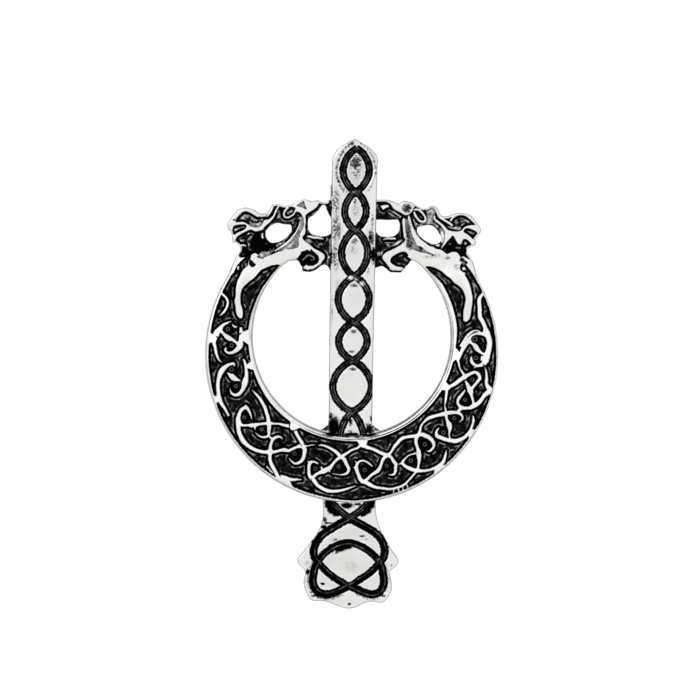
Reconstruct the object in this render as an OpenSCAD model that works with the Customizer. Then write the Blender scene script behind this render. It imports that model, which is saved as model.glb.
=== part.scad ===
// Plaid brooch: a penannular crescent ring with knotwork, two dragon heads and a long bar through it,
// cast in one piece, with a plain steel brooch pin hidden behind the bar.
// The face looks up (+Z). The bar's point is towards +Y and its fan-shaped foot towards -Y.

/* [Crescent ring] */
// Radius of the ring's outer edge
ring_r = 21.9; // [21.5:0.1:22.5]
// Radius of the round opening
hole_r = 14.68; // [14.4:0.02:15]
// How far the opening's centre lies above the ring's centre
hole_shift = 2.63; // [2.4:0.01:2.9]
// Height of the ring's centre above the middle of the brooch
ring_y = 2.95; // [2.7:0.05:3.2]
// Thickness of the band at its crown, at the bottom of the ring
crown_bottom = 3.5; // [3.3:0.1:3.8]
// Thickness of the band at its crown, near the dragons' necks
crown_side = 2.5; // [2.4:0.1:2.8]
// Thickness of the band at its edges, at the bottom of the ring, where it covers the bar
edge_bottom = 2.4; // [2.3:0.1:2.6]
// Thickness of the band at its edges, near the dragons' necks
edge_side = 1.9; // [1.7:0.1:2.2]
// Depth of the blackened recesses
recess = 0.5; // [0.3:0.05:0.7]
// Width of a knotwork line
line_w = 0.55; // [0.45:0.05:0.65]

/* [Bar] */
// Height of the bar's point above the middle of the brooch
bar_top = 35; // [34.8:0.1:35.4]
// Depth of the fan-shaped foot's tip below the middle of the brooch
foot_tip = 35; // [34.8:0.1:35.4]
// Width of the bar
bar_w = 6.6; // [6.4:0.1:6.9]
// Thickness of the bar
bar_t = 2.2; // [2.1:0.1:2.4]
// Lean of the bar, towards +X at its point
bar_lean = 1.05; // [0:0.05:1.5]
// Width of a sunk cord in the oval chain
cord_w = 1.05; // [0.8:0.05:1.2]
// Depth of a cord below the face
cord_depth = 0.4; // [0.3:0.05:0.5]

/* [Dragon heads] */
// Thickness of a head at its polished top
head_t = 2.1; // [2:0.05:2.15]
// Thickness of the blackened webs and pockets
web_t = 1.4; // [1.2:0.1:1.6]
// Height of the soft ridge along a jaw, above the head's polished top
jaw_ridge = 0.2; // [0.1:0.05:0.3]
// The line that the two heads mirror each other about
mirror_x = 0.4; // [0.2:0.1:0.6]
// How much higher the left head sits
left_lift = 0.25; // [0:0.05:0.4]

/* [Brooch pin] */
// Height of the casting's flat back above the table
back_z = 3.4; // [3.2:0.1:4]
// Gap between the strip and the casting, where the solder goes
solder_gap = 0.05; // [0.03:0.01:0.1]
// Width of the strip
strip_w = 4.6; // [4:0.1:5]
// Thickness of the strip
strip_t = 0.8; // [0.6:0.05:1]
// Radius of the stem's wire
stem_r = 0.5; // [0.4:0.05:0.6]
// Height of the stem's axis above the table
stem_z = 1.4; // [1.2:0.1:1.6]
// Where the hinge stands along the bar
hinge_y = -14; // [-15:0.5:-12]
// Width of the hinge block
hinge_w = 5; // [4.6:0.1:5.4]
// Length of the hinge block
hinge_l = 4; // [3:0.5:5]
// Where the catch stands along the bar
catch_y = 27; // [25:0.5:28]
// Width of the catch
catch_w = 4.9; // [4.6:0.1:5.2]
// Length of the catch
catch_l = 2.2; // [1.8:0.1:2.6]
// How far the catch's lip stands past the middle of the bar, to the left
catch_lip = 3.65; // [3.4:0.05:3.8]

/* [Hidden] */
$fn = 32;
silver = "silver";
steel = "lightsteelblue";

// The band runs this far round from the bottom on each side, and is built in steps of this angle.
band_end = 136;
band_step = 4;
// Places of the polished rims, as shares of the band's width, and the width of their steep inner sides.
rim_in = 0.10;
rim_out = 0.95;
rim_side = 0.005;
// How far raised and joined forms sink into what carries them.
sink = 0.3;

// Knotwork, a row for each interlaced cell from left to right. ua and uv are the angle from the bottom and the
// place across the band of its upper junction, la and lv those of its lower one. gap is how many degrees short
// of the next cell its outer arch ends, and lead how many degrees past the last cell its inner arch starts.
//    ua     uv    la     lv    gap  lead
CELLS = [
    [-99.3, 0.74, -94.4, 0.28, 3.5, -9.0],
    [-83.3, 0.66, -75.0, 0.34, 3.5,  7.0],
    [-58.7, 0.73, -50.0, 0.35, 0.0,  5.0],
    [-39.6, 0.68, -28.6, 0.34, 3.5,  3.0],
    [-18.1, 0.73,  -6.0, 0.34, 3.5,  6.0],
    [  5.5, 0.69,  19.4, 0.38, 0.0,  0.0],
    [ 29.2, 0.78,  39.3, 0.33, 4.5,  0.0],
    [ 48.9, 0.73,  57.9, 0.38, 3.5,  2.0],
    [ 67.0, 0.73,  79.0, 0.40, 0.0,  3.0],
    [ 87.5, 0.74,  96.6, 0.38, 0.0,  0.0],
];
// Where the last cell's outer arch and hooks run on to.
KNOT_END = [101, 0.79];
// Places across the band of the arches' peak and dip, and the radius of the hooks.
arch_peak = 0.88;
arch_dip = 0.21;
hook_r = 1.3;

// Solid bridges from the knotwork to the rims: the angle at the middle, the width in degrees, and the stretch
// across the band.
//    mid    width  from  to
BRIDGES = [
    [-98.5,  5.5,  0.08, 0.27],
    [-83.2,  4.0,  0.08, 0.21],
    [-38.5,  6.0,  0.08, 0.20],
    [  7.2,  6.0,  0.08, 0.20],
    [ 70.7,  4.8,  0.08, 0.22],
    [ 89.8,  8.0,  0.08, 0.23],
    [-96.5,  4.2,  0.74, 0.97],
    [-71.5,  3.2,  0.84, 0.97],
    [-28.0,  7.0,  0.87, 0.97],
    [ 19.5,  6.0,  0.89, 0.97],
    [ 37.2,  5.0,  0.88, 0.97],
    [ 56.5,  4.4,  0.87, 0.97],
    [ 75.2,  3.2,  0.82, 0.97],
];

// The polished neck, a row for each section: the angle from the bottom, and its inner and outer edges.
//    angle  inner  outer
NECK = [
    [106.0, 0.35, 0.41],
    [108.5, 0.32, 0.51],
    [112.2, 0.39, 0.60],
    [115.5, 0.49, 0.67],
    [119.0, 0.52, 0.72],
    [122.8, 0.48, 0.75],
    [127.0, 0.41, 0.76],
    [131.0, 0.36, 0.90],
    [134.5, 0.28, 0.96],
];
// The line that closes the long outer recess, from the last knot to the rim: angle and place across.
NECK_LINE = [
    [98.0, 0.79], [101.2, 0.75], [105.4, 0.70], [109.9, 0.73], [113.0, 0.79], [114.5, 0.96],
];

// Chain of pointed ovals down the bar: where each one's upper crossing lies, and its half width.
//    top   half_w
OVALS = [
    [33.3,  1.90],
    [26.9,  1.60],
    [21.3,  1.95],
    [14.4,  2.20],
    [ 7.6,  2.00],
    [ 1.9,  2.75],
    [-5.8,  3.05],
];
// Where the chain's last crossing lies, how far it sits to the right of the bar's middle, how full its ovals
// are, and the steps along each of them.
chain_end = -21.5;
chain_shift = 0.2;
chain_fullness = 0.72;
oval_steps = 8;

// The bar's point: distance below its tip and half width.
POINT = [
    [0.0, 0.0], [1.3, 2.1], [1.8, 2.8], [2.8, 3.35],
];
// The foot: distance above its tip and half width.
FOOT = [
    [16.0, 3.6], [14.0, 3.8], [12.2, 4.3], [10.4, 5.2], [8.8, 6.4], [7.6, 7.4], [6.8, 7.5], [6.0, 6.8],
    [5.4, 6.4], [3.7, 6.6], [2.6, 6.3], [1.2, 5.3], [1.0, 3.8], [0.7, 2.2], [0.0, 0.0],
];
// Right halves of the two cords in the foot: distance from the bar's middle, and height.
FOOT_LOOP = [
    [0.0, -21.5], [2.0, -22.5], [4.0, -23.9], [5.0, -25.2], [5.2, -26.4], [4.55, -27.9],
    [5.2, -29.6], [5.3, -31.0], [4.6, -32.4], [3.4, -32.8], [2.0, -32.5], [0.0, -31.5],
];
FOOT_ARCH = [
    [0.0, -25.1], [1.8, -25.5], [3.5, -26.7], [4.55, -27.9], [3.2, -29.6], [1.6, -30.7], [0.0, -31.5],
];

// The right head, face on. The left one mirrors it, apart from its mouth.
HEAD = [
    [2.5, 15.6], [4.2, 16.05], [4.8, 15.85], [5.5, 15.15], [6.4, 14.95], [7.6, 15.15], [8.8, 16.45],
    [9.6, 16.35], [10.5, 15.8], [11.4, 14.95], [13.6, 12.4], [17.6, 15.6], [17.35, 17.6], [17.4, 18.4],
    [18.1, 19.0], [18.5, 20.1], [18.85, 20.9], [19.25, 21.6], [18.7, 22.6], [17.9, 23.4], [16.7, 24.0],
    [15.4, 23.9], [14.4, 23.35], [13.5, 23.5], [12.9, 24.6], [12.2, 25.05], [10.7, 24.65], [9.2, 25.3],
    [8.2, 25.5], [7.0, 25.45], [5.5, 25.8], [2.5, 25.8],
];
MOUTH = [
    [3.0, 22.9], [3.0, 20.8], [4.5, 20.35], [6.3, 20.4], [7.1, 20.9], [7.35, 22.0], [7.0, 22.9],
];
LEFT_MOUTH = [
    [3.0, 23.2], [3.0, 20.8], [4.5, 20.3], [6.3, 20.4], [7.1, 20.9], [7.3, 22.6], [6.3, 23.4], [4.8, 24.8],
    [4.3, 24.3],
];
EYE_HOLE = [
    [9.8, 21.5], [11.0, 22.05], [12.2, 21.85], [13.0, 21.0], [13.45, 19.95], [13.0, 19.3], [12.0, 19.1],
    [10.9, 19.75], [9.8, 20.8],
];
// Blackened pockets, sunk to the webs: below the jaw, above the mouth, in the beard, behind the jaw, round the
// eye hole, in the curl, behind the curl, in the crest, in the upper mane and in the lower mane.
POCKETS = [
    [[2.4, 20.7], [7.0, 20.7], [7.7, 20.2], [6.8, 18.9], [5.3, 18.1], [4.5, 17.3], [4.9, 15.5], [2.4, 15.0]],
    [[2.4, 25.4], [5.6, 25.2], [7.9, 23.4], [7.2, 22.5], [2.4, 22.5]],
    [[5.8, 16.7], [6.2, 17.5], [7.6, 18.1], [8.5, 17.5], [9.3, 16.7], [8.0, 15.2], [7.2, 15.85], [6.3, 16.1]],
    [[8.1, 23.2], [8.4, 21.0], [8.1, 18.7], [10.4, 18.0], [11.6, 17.7], [10.0, 18.9], [9.0, 20.6], [8.5, 23.2]],
    [[8.8, 23.6], [10.3, 22.4], [11.6, 22.6], [12.5, 22.4], [13.6, 21.2], [13.9, 20.0], [13.3, 18.9],
     [12.5, 20.0], [11.0, 21.5], [9.5, 21.2]],
    [[9.5, 23.6], [9.9, 24.2], [10.7, 23.6], [10.9, 23.1], [10.2, 23.1]],
    [[11.0, 24.3], [12.1, 24.5], [12.4, 23.2], [11.7, 22.9], [11.4, 23.5]],
    [[12.9, 23.0], [14.4, 21.9], [16.3, 21.4], [16.6, 22.1], [18.3, 22.2], [17.3, 23.1], [16.2, 23.4],
     [15.0, 22.9], [14.4, 22.5], [13.3, 23.1]],
    [[16.7, 21.2], [17.6, 21.4], [18.6, 20.7], [18.2, 20.0], [17.5, 20.5]],
    [[13.6, 18.5], [14.4, 19.7], [15.1, 20.4], [15.8, 19.4], [16.4, 19.2], [16.7, 19.9], [17.3, 19.7],
     [17.8, 19.1], [18.0, 18.2], [17.8, 17.5], [16.4, 17.4], [15.6, 18.2], [14.4, 17.9]],
];
// The eye's low boss: its place, radius, and how far it sits below the polished top.
EYE = [8.3, 24.6];
eye_r = 0.7;
eye_drop = 0.25;
// The soft ridge behind the jaw, and its half width at its foot and its top.
JAW = [
    [8.3, 22.6], [9.0, 21.4], [9.6, 20.2], [10.7, 19.1], [12.0, 18.1],
];
jaw_foot = 0.35;
jaw_top = 0.15;

function lerp(a, b, t) = a + (b - a) * t;
function unit(v) = v / norm(v);
function last(list) = list[len(list) - 1];
function backwards(list) = [for (i = [len(list) - 1 : -1 : 0]) list[i]];
// A share from 0 at the bottom of the ring to 1 at the necks.
function side_share(a) = (1 - cos(min(abs(a), 140) * 180 / 140)) / 2;
// Distance from the ring's centre to the opening's edge, at an angle from the bottom.
function inner_at(a) = sqrt(hole_r ^ 2 - (hole_shift * sin(a)) ^ 2) - hole_shift * cos(a);
// A place on the band: an angle, and v from 0 at the inner edge to 1 at the outer one.
function on_band(a, v) = let (s = lerp(inner_at(a), ring_r, v)) [s * sin(a), ring_y - s * cos(a)];
// Height of the domed band's polished surface.
function dome(a, v) = let (
    crown = lerp(crown_bottom, crown_side, side_share(a)),
    edge = lerp(edge_bottom, edge_side, side_share(a))
) edge + (crown - edge) * (1 - abs(2 * v - 1) ^ 2.2);
// The same place as a point in space, with a drop below the polished surface.
function dome_point(a, v, drop = 0) = [each on_band(a, v), dome(a, v) - drop];
// Lengths on the band as degrees round it, and as a share of its width.
function as_degrees(a, v, length) = length / lerp(inner_at(a), ring_r, v) * 180 / PI;
function as_share(a, length) = length / (ring_r - inner_at(a));
// Left-hand side step at point i of a path, of a given length.
function side_step(path, i, length) = let (t = unit(path[min(i + 1, len(path) - 1)] - path[max(i - 1, 0)]))
    [-t[1], t[0]] * length;
// The outline of a flat strip of width w along a path.
function strip(path, w) = concat(
    [for (i = [0 : len(path) - 1]) path[i] + side_step(path, i, w / 2)],
    [for (i = [len(path) - 1 : -1 : 0]) path[i] - side_step(path, i, w / 2)]
);

// A closed solid lofted through rings of points, each ring with the same number of points.
module loft(rings) {
    n = len(rings);
    m = len(rings[0]);
    walls = [
        for (i = [0 : n - 2], j = [0 : m - 1], half = [0, 1])
            let (a = i * m + j, b = i * m + (j + 1) % m) half == 0 ? [a, b + m, b] : [a, a + m, b + m]
    ];
    start = [for (j = [0 : m - 1]) j];
    end = [for (j = [m - 1 : -1 : 0]) (n - 1) * m + j];
    polyhedron([for (r = rings, p = r) p], concat([start], walls, [end]));
}

// The band, with its recess floor between two polished rims, as sections of [place across, drop].
module band() {
    section = [
        [0.00, 0.50], [0.03, 0.00], [rim_in - rim_side, 0.00], [rim_in, recess], [0.36, recess], [0.66, recess],
        [rim_out - rim_side, recess], [rim_out, 0.00], [1.00, 0.40],
    ];
    loft([for (a = [-band_end : band_step : band_end]) concat(
        [[each on_band(a, 0), 0]],
        [for (s = section) dome_point(a, s[0], s[1])],
        [[each on_band(a, 1), 0]]
    )]);
}

// A raised line on the band, through places [angle, across]. Its far end narrows by the share taper.
module knot_line(places, w = line_w, taper = 0) {
    n = len(places) - 1;
    flat = [for (p = places) on_band(p[0], p[1])];
    loft([for (i = [0 : n])
        let (
            s = side_step(flat, i, w / 2 * (i == n ? 1 - taper : 1)),
            top = dome(places[i][0], places[i][1]),
            low = top - recess - sink
        )
        [[each (flat[i] + s), low], [each (flat[i] + s), top], [each (flat[i] - s), top], [each (flat[i] - s), low]]
    ]);
}

// A polished patch of the band, through sections [angle, inner, outer].
module patch(sections) {
    loft([for (s = sections)
        let (mid = (s[1] + s[2]) / 2, low = recess + sink)
        [
            dome_point(s[0], s[1], low), dome_point(s[0], s[1]), dome_point(s[0], mid), dome_point(s[0], s[2]),
            dome_point(s[0], s[2], low)
        ]
    ]);
}

// An arc of the knot round a place on the band, between two turns (0 is to the right, 90 outwards).
function hook(a, v, from, to, steps = 5) = [for (i = [0 : steps])
    let (turn = lerp(from, to, i / steps))
    [a + as_degrees(a, v, hook_r) * cos(turn), v + as_share(a, hook_r) * sin(turn)]
];
// An arch from one junction to another, bowed to the given place across the band.
function arch(from, to, bow) = [for (t = [0 : 0.2 : 1])
    lerp(from, to, t) + [0, (bow - lerp(from[1], to[1], t)) * sin(180 * t) ^ 0.8]
];

// One cell: the outer arch, a hook hanging from the upper junction, a slanting line to the lower junction,
// a hook standing on that, and the inner arch from the cell before.
module cell(i) {
    upper = [CELLS[i][0], CELLS[i][1]];
    lower = [CELLS[i][2], CELLS[i][3]];
    gap = CELLS[i][4];
    lead = CELLS[i][5];
    next = i == len(CELLS) - 1 ? KNOT_END : [CELLS[i + 1][0], CELLS[i + 1][1]];
    before = i == 0 ? lower : [CELLS[i - 1][2], CELLS[i - 1][3]];
    free = gap > 0;
    knot_line(arch(upper, next - [gap, free ? -0.05 : 0], arch_peak), taper = free ? 0.6 : 0);
    knot_line(hook(upper[0] + 0.4, upper[1] - as_share(upper[0], hook_r), 105, 285), taper = 0.5);
    knot_line([
        upper + [1, -0.03],
        [lerp(upper[0], lower[0], 0.33), lerp(upper[1], lower[1], 0.4)],
        [lerp(upper[0], lower[0], 0.6), lerp(upper[1], lower[1], 0.55)],
        [lerp(upper[0], lower[0], 0.85), lerp(upper[1], lower[1], 0.9)],
        lower
    ], w = line_w * 1.2);
    knot_line(hook(lower[0] + 0.2, lower[1] + as_share(lower[0], hook_r), -75, 115), taper = 0.6);
    knot_line(arch(lead == 0 ? before : [before[0] + lead, 0.25], lower, arch_dip));
}

module ring() {
    band();
    for (i = [0 : len(CELLS) - 1]) cell(i);
    for (b = BRIDGES) patch([for (t = [-0.5, 0, 0.5]) [b[0] + b[1] * t, b[2], b[3]]]);
    patch(NECK);
    patch(backwards([for (s = NECK) [-s[0], s[1], s[2]]]));
    for (side = [-1, 1]) knot_line([for (p = NECK_LINE) [side * p[0], p[1]]], w = line_w * 1.2);
}

module head(mouth) {
    difference() {
        linear_extrude(head_t) difference() {
            polygon(HEAD);
            polygon(mouth);
            polygon(EYE_HOLE);
        }
        translate([0, 0, web_t]) linear_extrude(head_t) for (p = POCKETS) polygon(p);
        translate([each EYE, head_t - eye_drop]) cylinder(h = 1, r = eye_r, $fn = 16);
    }
    for (i = [0 : len(JAW) - 2]) hull() {
        jaw_peg(JAW[i]);
        jaw_peg(JAW[i + 1]);
    }
}

module jaw_peg(place) {
    translate([each place, head_t - sink]) cylinder(h = sink + jaw_ridge, r1 = jaw_foot, r2 = jaw_top, $fn = 8);
}

module heads() {
    head(MOUTH);
    translate([2 * mirror_x, left_lift, 0]) mirror([1, 0, 0]) head(LEFT_MOUTH);
}

// The right half of the bar's outline, from its point to the tip of its foot.
bar_half = concat(
    [for (p = POINT) [p[1], bar_top - p[0]]],
    [[bar_w / 2 + 0.05, 10], [bar_w / 2, -8]],
    [for (p = FOOT) [p[1], p[0] - foot_tip]]
);
// One strand of the chain, which changes sides at each crossing. side is 1 where it starts on the right.
function strand(side) = [
    for (i = [0 : len(OVALS) - 1], k = [0 : oval_steps - 1])
        let (low = i == len(OVALS) - 1 ? chain_end : OVALS[i + 1][0], t = k / oval_steps)
        [side * (i % 2 == 0 ? 1 : -1) * OVALS[i][1] * sin(180 * t) ^ chain_fullness, lerp(OVALS[i][0], low, t)],
    [0, chain_end]
];

module bar() {
    rotate([0, 0, -bar_lean]) difference() {
        linear_extrude(bar_t) polygon(concat(bar_half, backwards([for (p = bar_half) [-p[0], p[1]]])));
        translate([chain_shift, 0, bar_t - cord_depth]) linear_extrude(1) for (side = [-1, 1]) {
            polygon(strip(strand(side), cord_w));
            mirror([side < 0 ? 1 : 0, 0]) {
                polygon(strip(FOOT_LOOP, cord_w));
                polygon(strip(FOOT_ARCH, cord_w));
            }
        }
    }
}

module casting() {
    color(silver) translate([0, 0, back_z]) union() {
        ring();
        heads();
        bar();
    }
}

module pin_fitting() {
    top = back_z - solder_gap;
    strip_end = catch_y + catch_l;
    color(steel) rotate([0, 0, -bar_lean]) union() {
        translate([-strip_w / 2, hinge_y, top - strip_t]) cube([strip_w, strip_end - hinge_y, strip_t]);
        translate([-hinge_w / 2, hinge_y - hinge_l / 2, 0]) cube([hinge_w, hinge_l, top]);
        translate([-catch_lip, catch_y - catch_l / 2, 0]) cube([catch_w, catch_l, top]);
        translate([0, hinge_y, stem_z]) rotate([-90, 0, 0]) cylinder(h = catch_y - hinge_y, r = stem_r);
    }
}

casting();
pin_fitting();
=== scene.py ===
# %% [markdown]
# # A plaid brooch with two dragons
# The real brooch is cast in zinc alloy, plated with silver, dipped in a black oxide bath and then buffed.
# The wheel reaches only the raised parts, so the knotwork shines on a black ground. It could be sculpted,
# but its look is a crisp drawing in two tones. So this file draws the face as a flat plan, presses the
# ground between the polished lines down, and dresses the result with the two finishes.

# %% Load the frame
import math
import bpy
import numpy as np
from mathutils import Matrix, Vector
from mathutils.geometry import delaunay_2d_cdt
from mathutils.kdtree import KDTree


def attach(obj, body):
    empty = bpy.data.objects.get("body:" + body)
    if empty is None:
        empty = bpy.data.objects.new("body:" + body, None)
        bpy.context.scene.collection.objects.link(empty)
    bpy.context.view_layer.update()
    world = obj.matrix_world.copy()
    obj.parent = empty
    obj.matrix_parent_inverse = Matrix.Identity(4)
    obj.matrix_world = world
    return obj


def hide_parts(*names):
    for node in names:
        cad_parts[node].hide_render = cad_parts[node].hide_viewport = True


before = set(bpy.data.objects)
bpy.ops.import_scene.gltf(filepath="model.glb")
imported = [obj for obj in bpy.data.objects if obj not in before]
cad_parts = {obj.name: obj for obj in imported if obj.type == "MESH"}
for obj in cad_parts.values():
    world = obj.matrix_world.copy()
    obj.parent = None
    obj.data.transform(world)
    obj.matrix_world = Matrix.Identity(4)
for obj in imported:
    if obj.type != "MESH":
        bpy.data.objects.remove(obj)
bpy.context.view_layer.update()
print("nodes:", list(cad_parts))

# %% [markdown]
# The drawing is in millimetres, as a jeweller would draw it. The ring is a crescent between two circles, so
# a place on it is given by an angle from the bottom and a share of the way from its inner edge to its outer
# one. Plain x and y would do too, but the knotwork runs along the band, and this way its chart does as
# well. The band's face is domed, thickest at the bottom of the ring.

# %% The crescent band
MM = 0.001
# Height of the casting's back above the table, and of the heads' flat face above that back.
BACK = 3.4
HEAD_T = 2.1
# Radius of the ring, the radius that the charts count to, and where its centre lies.
RING_R = 21.86
CHART_R = 21.95
RING_Y = 2.95
# Radius of the opening, and how far its centre lies above the ring's.
HOLE_R = 14.68
HOLE_SHIFT = 2.63
# Height of the dome's crown and of its edges, each at the ring's bottom and at its ends.
CROWN = (3.46, 2.46)
BRINK = (2.4, 1.9)
ROUNDNESS = 2.2
BAND_END = 140
INTO_HEADS = (124, 136)


def lerp(a, b, t):
    """The number that lies a share t of the way from a to b."""
    return a + (b - a) * t


def smoothstep(low, high, x):
    """0 up to low, 1 from high on, and a soft rise between them."""
    t = min(max((x - low) / (high - low), 0), 1)
    return t * t * (3 - 2 * t)


def inner_at(angle):
    """Distance from the ring's centre to the opening's edge."""
    turn = math.radians(angle)
    return math.sqrt(HOLE_R ** 2 - (HOLE_SHIFT * math.sin(turn)) ** 2) - HOLE_SHIFT * math.cos(turn)


def on_band(angle, share):
    """A place on the band: degrees from the bottom, and the share of the way across."""
    turn = math.radians(angle)
    away = lerp(inner_at(angle), CHART_R, share)
    return (away * math.sin(turn), RING_Y - away * math.cos(turn))


def face_height(x, y):
    """Height of the polished face above the casting's back: domed on the band, flat on the heads."""
    angle = math.degrees(math.atan2(x, RING_Y - y))
    inner = inner_at(angle)
    share = min(max((math.hypot(x, RING_Y - y) - inner) / (RING_R - inner), 0), 1)
    side = (1 - math.cos(math.radians(min(abs(angle), BAND_END) * 180 / BAND_END))) / 2
    edge = lerp(*BRINK, side)
    dome = edge + (lerp(*CROWN, side) - edge) * (1 - abs(2 * share - 1) ** ROUNDNESS)
    return lerp(dome, HEAD_T, smoothstep(*INTO_HEADS, abs(angle)))


print("band width at the bottom and the sides:", [round(RING_R - inner_at(a), 2) for a in (0, 90)], "mm")

# %% [markdown]
# Every tree and finish below is put together by one helper. It adds a node and fills its inputs, either
# with a value or with what another node gives. Nodes could be placed by hand in the editor, but a script
# shows each number and makes the same tree every time.

# %% Node helper
MATH = "ShaderNodeMath"
RANGE = "ShaderNodeMapRange"
NOISE = "ShaderNodeTexNoise"
TIMES = {"operation": "MULTIPLY"}
PLUS = {"operation": "ADD"}
MINUS = {"operation": "SUBTRACT"}
TIMES_PLUS = {"operation": "MULTIPLY_ADD"}
LARGER = {"operation": "MAXIMUM"}
SMALLER = {"operation": "MINIMUM"}
# A range with this setting is a soft step from its second input to its third.
SOFT = {"interpolation_type": "SMOOTHSTEP"}
NUMBER = {"data_type": "FLOAT"}


def add(tree, kind, inputs=(), **settings):
    """A node with its settings. Its inputs, by name or in order, take values, sockets or whole nodes."""
    node = tree.nodes.new(kind)
    for name, value in settings.items():
        setattr(node, name, value)
    for key, value in inputs.items() if isinstance(inputs, dict) else enumerate(inputs):
        if isinstance(value, bpy.types.Node):
            value = value.outputs[0]
        if isinstance(value, bpy.types.NodeSocket):
            tree.links.new(value, node.inputs[key])
        else:
            node.inputs[key].default_value = value
    return node


def new_tree(name, **sockets):
    """A geometry tree with named inputs, and one geometry output."""
    tree = bpy.data.node_groups.new(name, "GeometryNodeTree")
    for socket_name, kind in sockets.items():
        tree.interface.new_socket(socket_name, in_out="INPUT", socket_type="NodeSocket" + kind)
    tree.interface.new_socket("Geometry", in_out="OUTPUT", socket_type="NodeSocketGeometry")
    return tree


def grown(source, tree, **values):
    """The plain mesh that a tree makes of a source object."""
    modifier = source.modifiers.new(tree.name, "NODES")
    modifier.node_group = tree
    for item in tree.interface.items_tree:
        if item.in_out == "INPUT" and item.name in values:
            modifier[item.identifier] = values[item.name]
    mesh = bpy.data.meshes.new_from_object(source.evaluated_get(bpy.context.evaluated_depsgraph_get()))
    source.modifiers.remove(modifier)
    return mesh


def shown(name, data):
    """An object for a mesh, a curve or a light, in the scene."""
    thing = bpy.data.objects.new(name, data)
    bpy.context.scene.collection.objects.link(thing)
    return thing

# %% [markdown]
# The master for such a casting is cut by hand, so its outlines are smooth but not regular. They could be
# traced with many short lines. Here they are drawn through a few places and rounded between them with a
# Catmull-Rom spline, because it passes through every place that was drawn.

# %% Curves through places
def rounded(places, step=0.16, closed=True):
    """Places at even steps along a smooth curve through the drawn ones."""
    n = len(places)
    line = []
    for i in range(n if closed else n - 1):
        four = [places[k % n] if closed else places[min(max(k, 0), n - 1)] for k in (i - 1, i, i + 1, i + 2)]
        a, b, c, d = (Vector(p[:2]) for p in four)
        count = max(1, round((c - b).length / step))
        for k in range(count):
            t = k / count
            line.append(0.5 * (2 * b + (c - a) * t + (2 * a - 5 * b + 4 * c - d) * t ** 2
                               + (3 * b - a - 3 * c + d) * t ** 3))
    if not closed:
        line.append(Vector(places[-1][:2]))
    return [tuple(p) for p in line]


square = [(0, 0), (10, 0), (10, 10), (0, 10)]
print("four places of a square, rounded:", len(rounded(square)))

# %% [markdown]
# A knotwork line on the real ring is a narrow polished strip that follows a path, and swells and tapers on
# the way. It could be drawn as a long outline. A small tree is shorter and keeps to the path by itself: it
# sweeps a straight profile along a curve whose radius carries the width, and lets that width wander a
# little, as a hand does.

# %% Strips along paths
# How far a strip's width wanders, the grain of that, and the steps along a path, all in millimetres.
UNEVEN = 0.16
UNEVEN_GRAIN = 0.7
PATH_STEP = 0.25


def paths(name, lines):
    """A curve object through lines of (x, y, width) in millimetres."""
    curve = bpy.data.curves.new(name, "CURVE")
    curve.dimensions = "3D"
    for line in lines:
        spline = curve.splines.new("BEZIER")
        spline.bezier_points.add(len(line) - 1)
        for point, (x, y, width) in zip(spline.bezier_points, line):
            point.co = (x * MM, y * MM, 0)
            point.handle_left_type = "AUTO"
            point.handle_right_type = "AUTO"
            point.radius = width * MM
    return shown(name, curve)


# The plan is never shown, so its Finish stays empty.
strips = new_tree("strips along paths", Geometry="Geometry", Paths="Object", Widen="Float", Uneven="Float",
                  Finish="Material")
feed = add(strips, "NodeGroupInput").outputs
drawn = add(strips, "GeometryNodeObjectInfo", {"Object": feed["Paths"]}).outputs["Geometry"]
evened = add(strips, "GeometryNodeResampleCurve", {"Curve": drawn, "Length": PATH_STEP * MM}, mode="LENGTH")
level = add(strips, "GeometryNodeSetCurveNormal", {"Curve": evened}, mode="Z_UP")
wander = add(strips, NOISE, {"Scale": 1 / (UNEVEN_GRAIN * MM), "Detail": 2.0})
width = add(strips, MATH, (add(strips, "GeometryNodeInputRadius"), feed["Widen"]), **PLUS)
width = add(strips, MATH, (wander, feed["Uneven"], width), **TIMES_PLUS)
profile = add(strips, "GeometryNodeCurvePrimitiveLine", {"Start": (-0.5, 0, 0), "End": (0.5, 0, 0)})
swept = add(strips, "GeometryNodeCurveToMesh", {"Curve": level, "Profile Curve": profile, "Scale": width})
both = add(strips, "GeometryNodeJoinGeometry", {"Geometry": swept})
strips.links.new(feed["Geometry"], both.inputs["Geometry"])
real = add(strips, "GeometryNodeRealizeInstances", {"Geometry": both})
dressed = add(strips, "GeometryNodeSetMaterial", {"Geometry": real, "Material": feed["Finish"]})
add(strips, "NodeGroupOutput", {"Geometry": dressed})
print("strips along paths: %d nodes" % len(strips.nodes))

# %% [markdown]
# A plan is one flat mesh of everything that stays polished: planes drawn as outlines, and strips. It is
# never seen. A widened copy of it marks the foot of the sloping sides, which a cast line needs to leave its
# mould.

# %% Flat plans
def offset(loop, distance):
    """A closed loop moved to its left by a distance."""
    n = len(loop)
    moved = []
    for i in range(n):
        ahead = Vector(loop[(i + 1) % n]) - Vector(loop[i - 1])
        ahead.normalize()
        moved.append((loop[i][0] - ahead.y * distance, loop[i][1] + ahead.x * distance))
    return moved


def area(loop):
    """Area of a closed loop, positive where it runs anticlockwise."""
    return sum(x0 * y1 - x1 * y0 for (x0, y0), (x1, y1) in zip(loop, loop[1:] + loop[:1])) / 2


def facing(loop, sign=1):
    """The loop, turned round if needed so that it runs anticlockwise, or clockwise for sign -1."""
    return loop if area(loop) * sign > 0 else loop[::-1]


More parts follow.
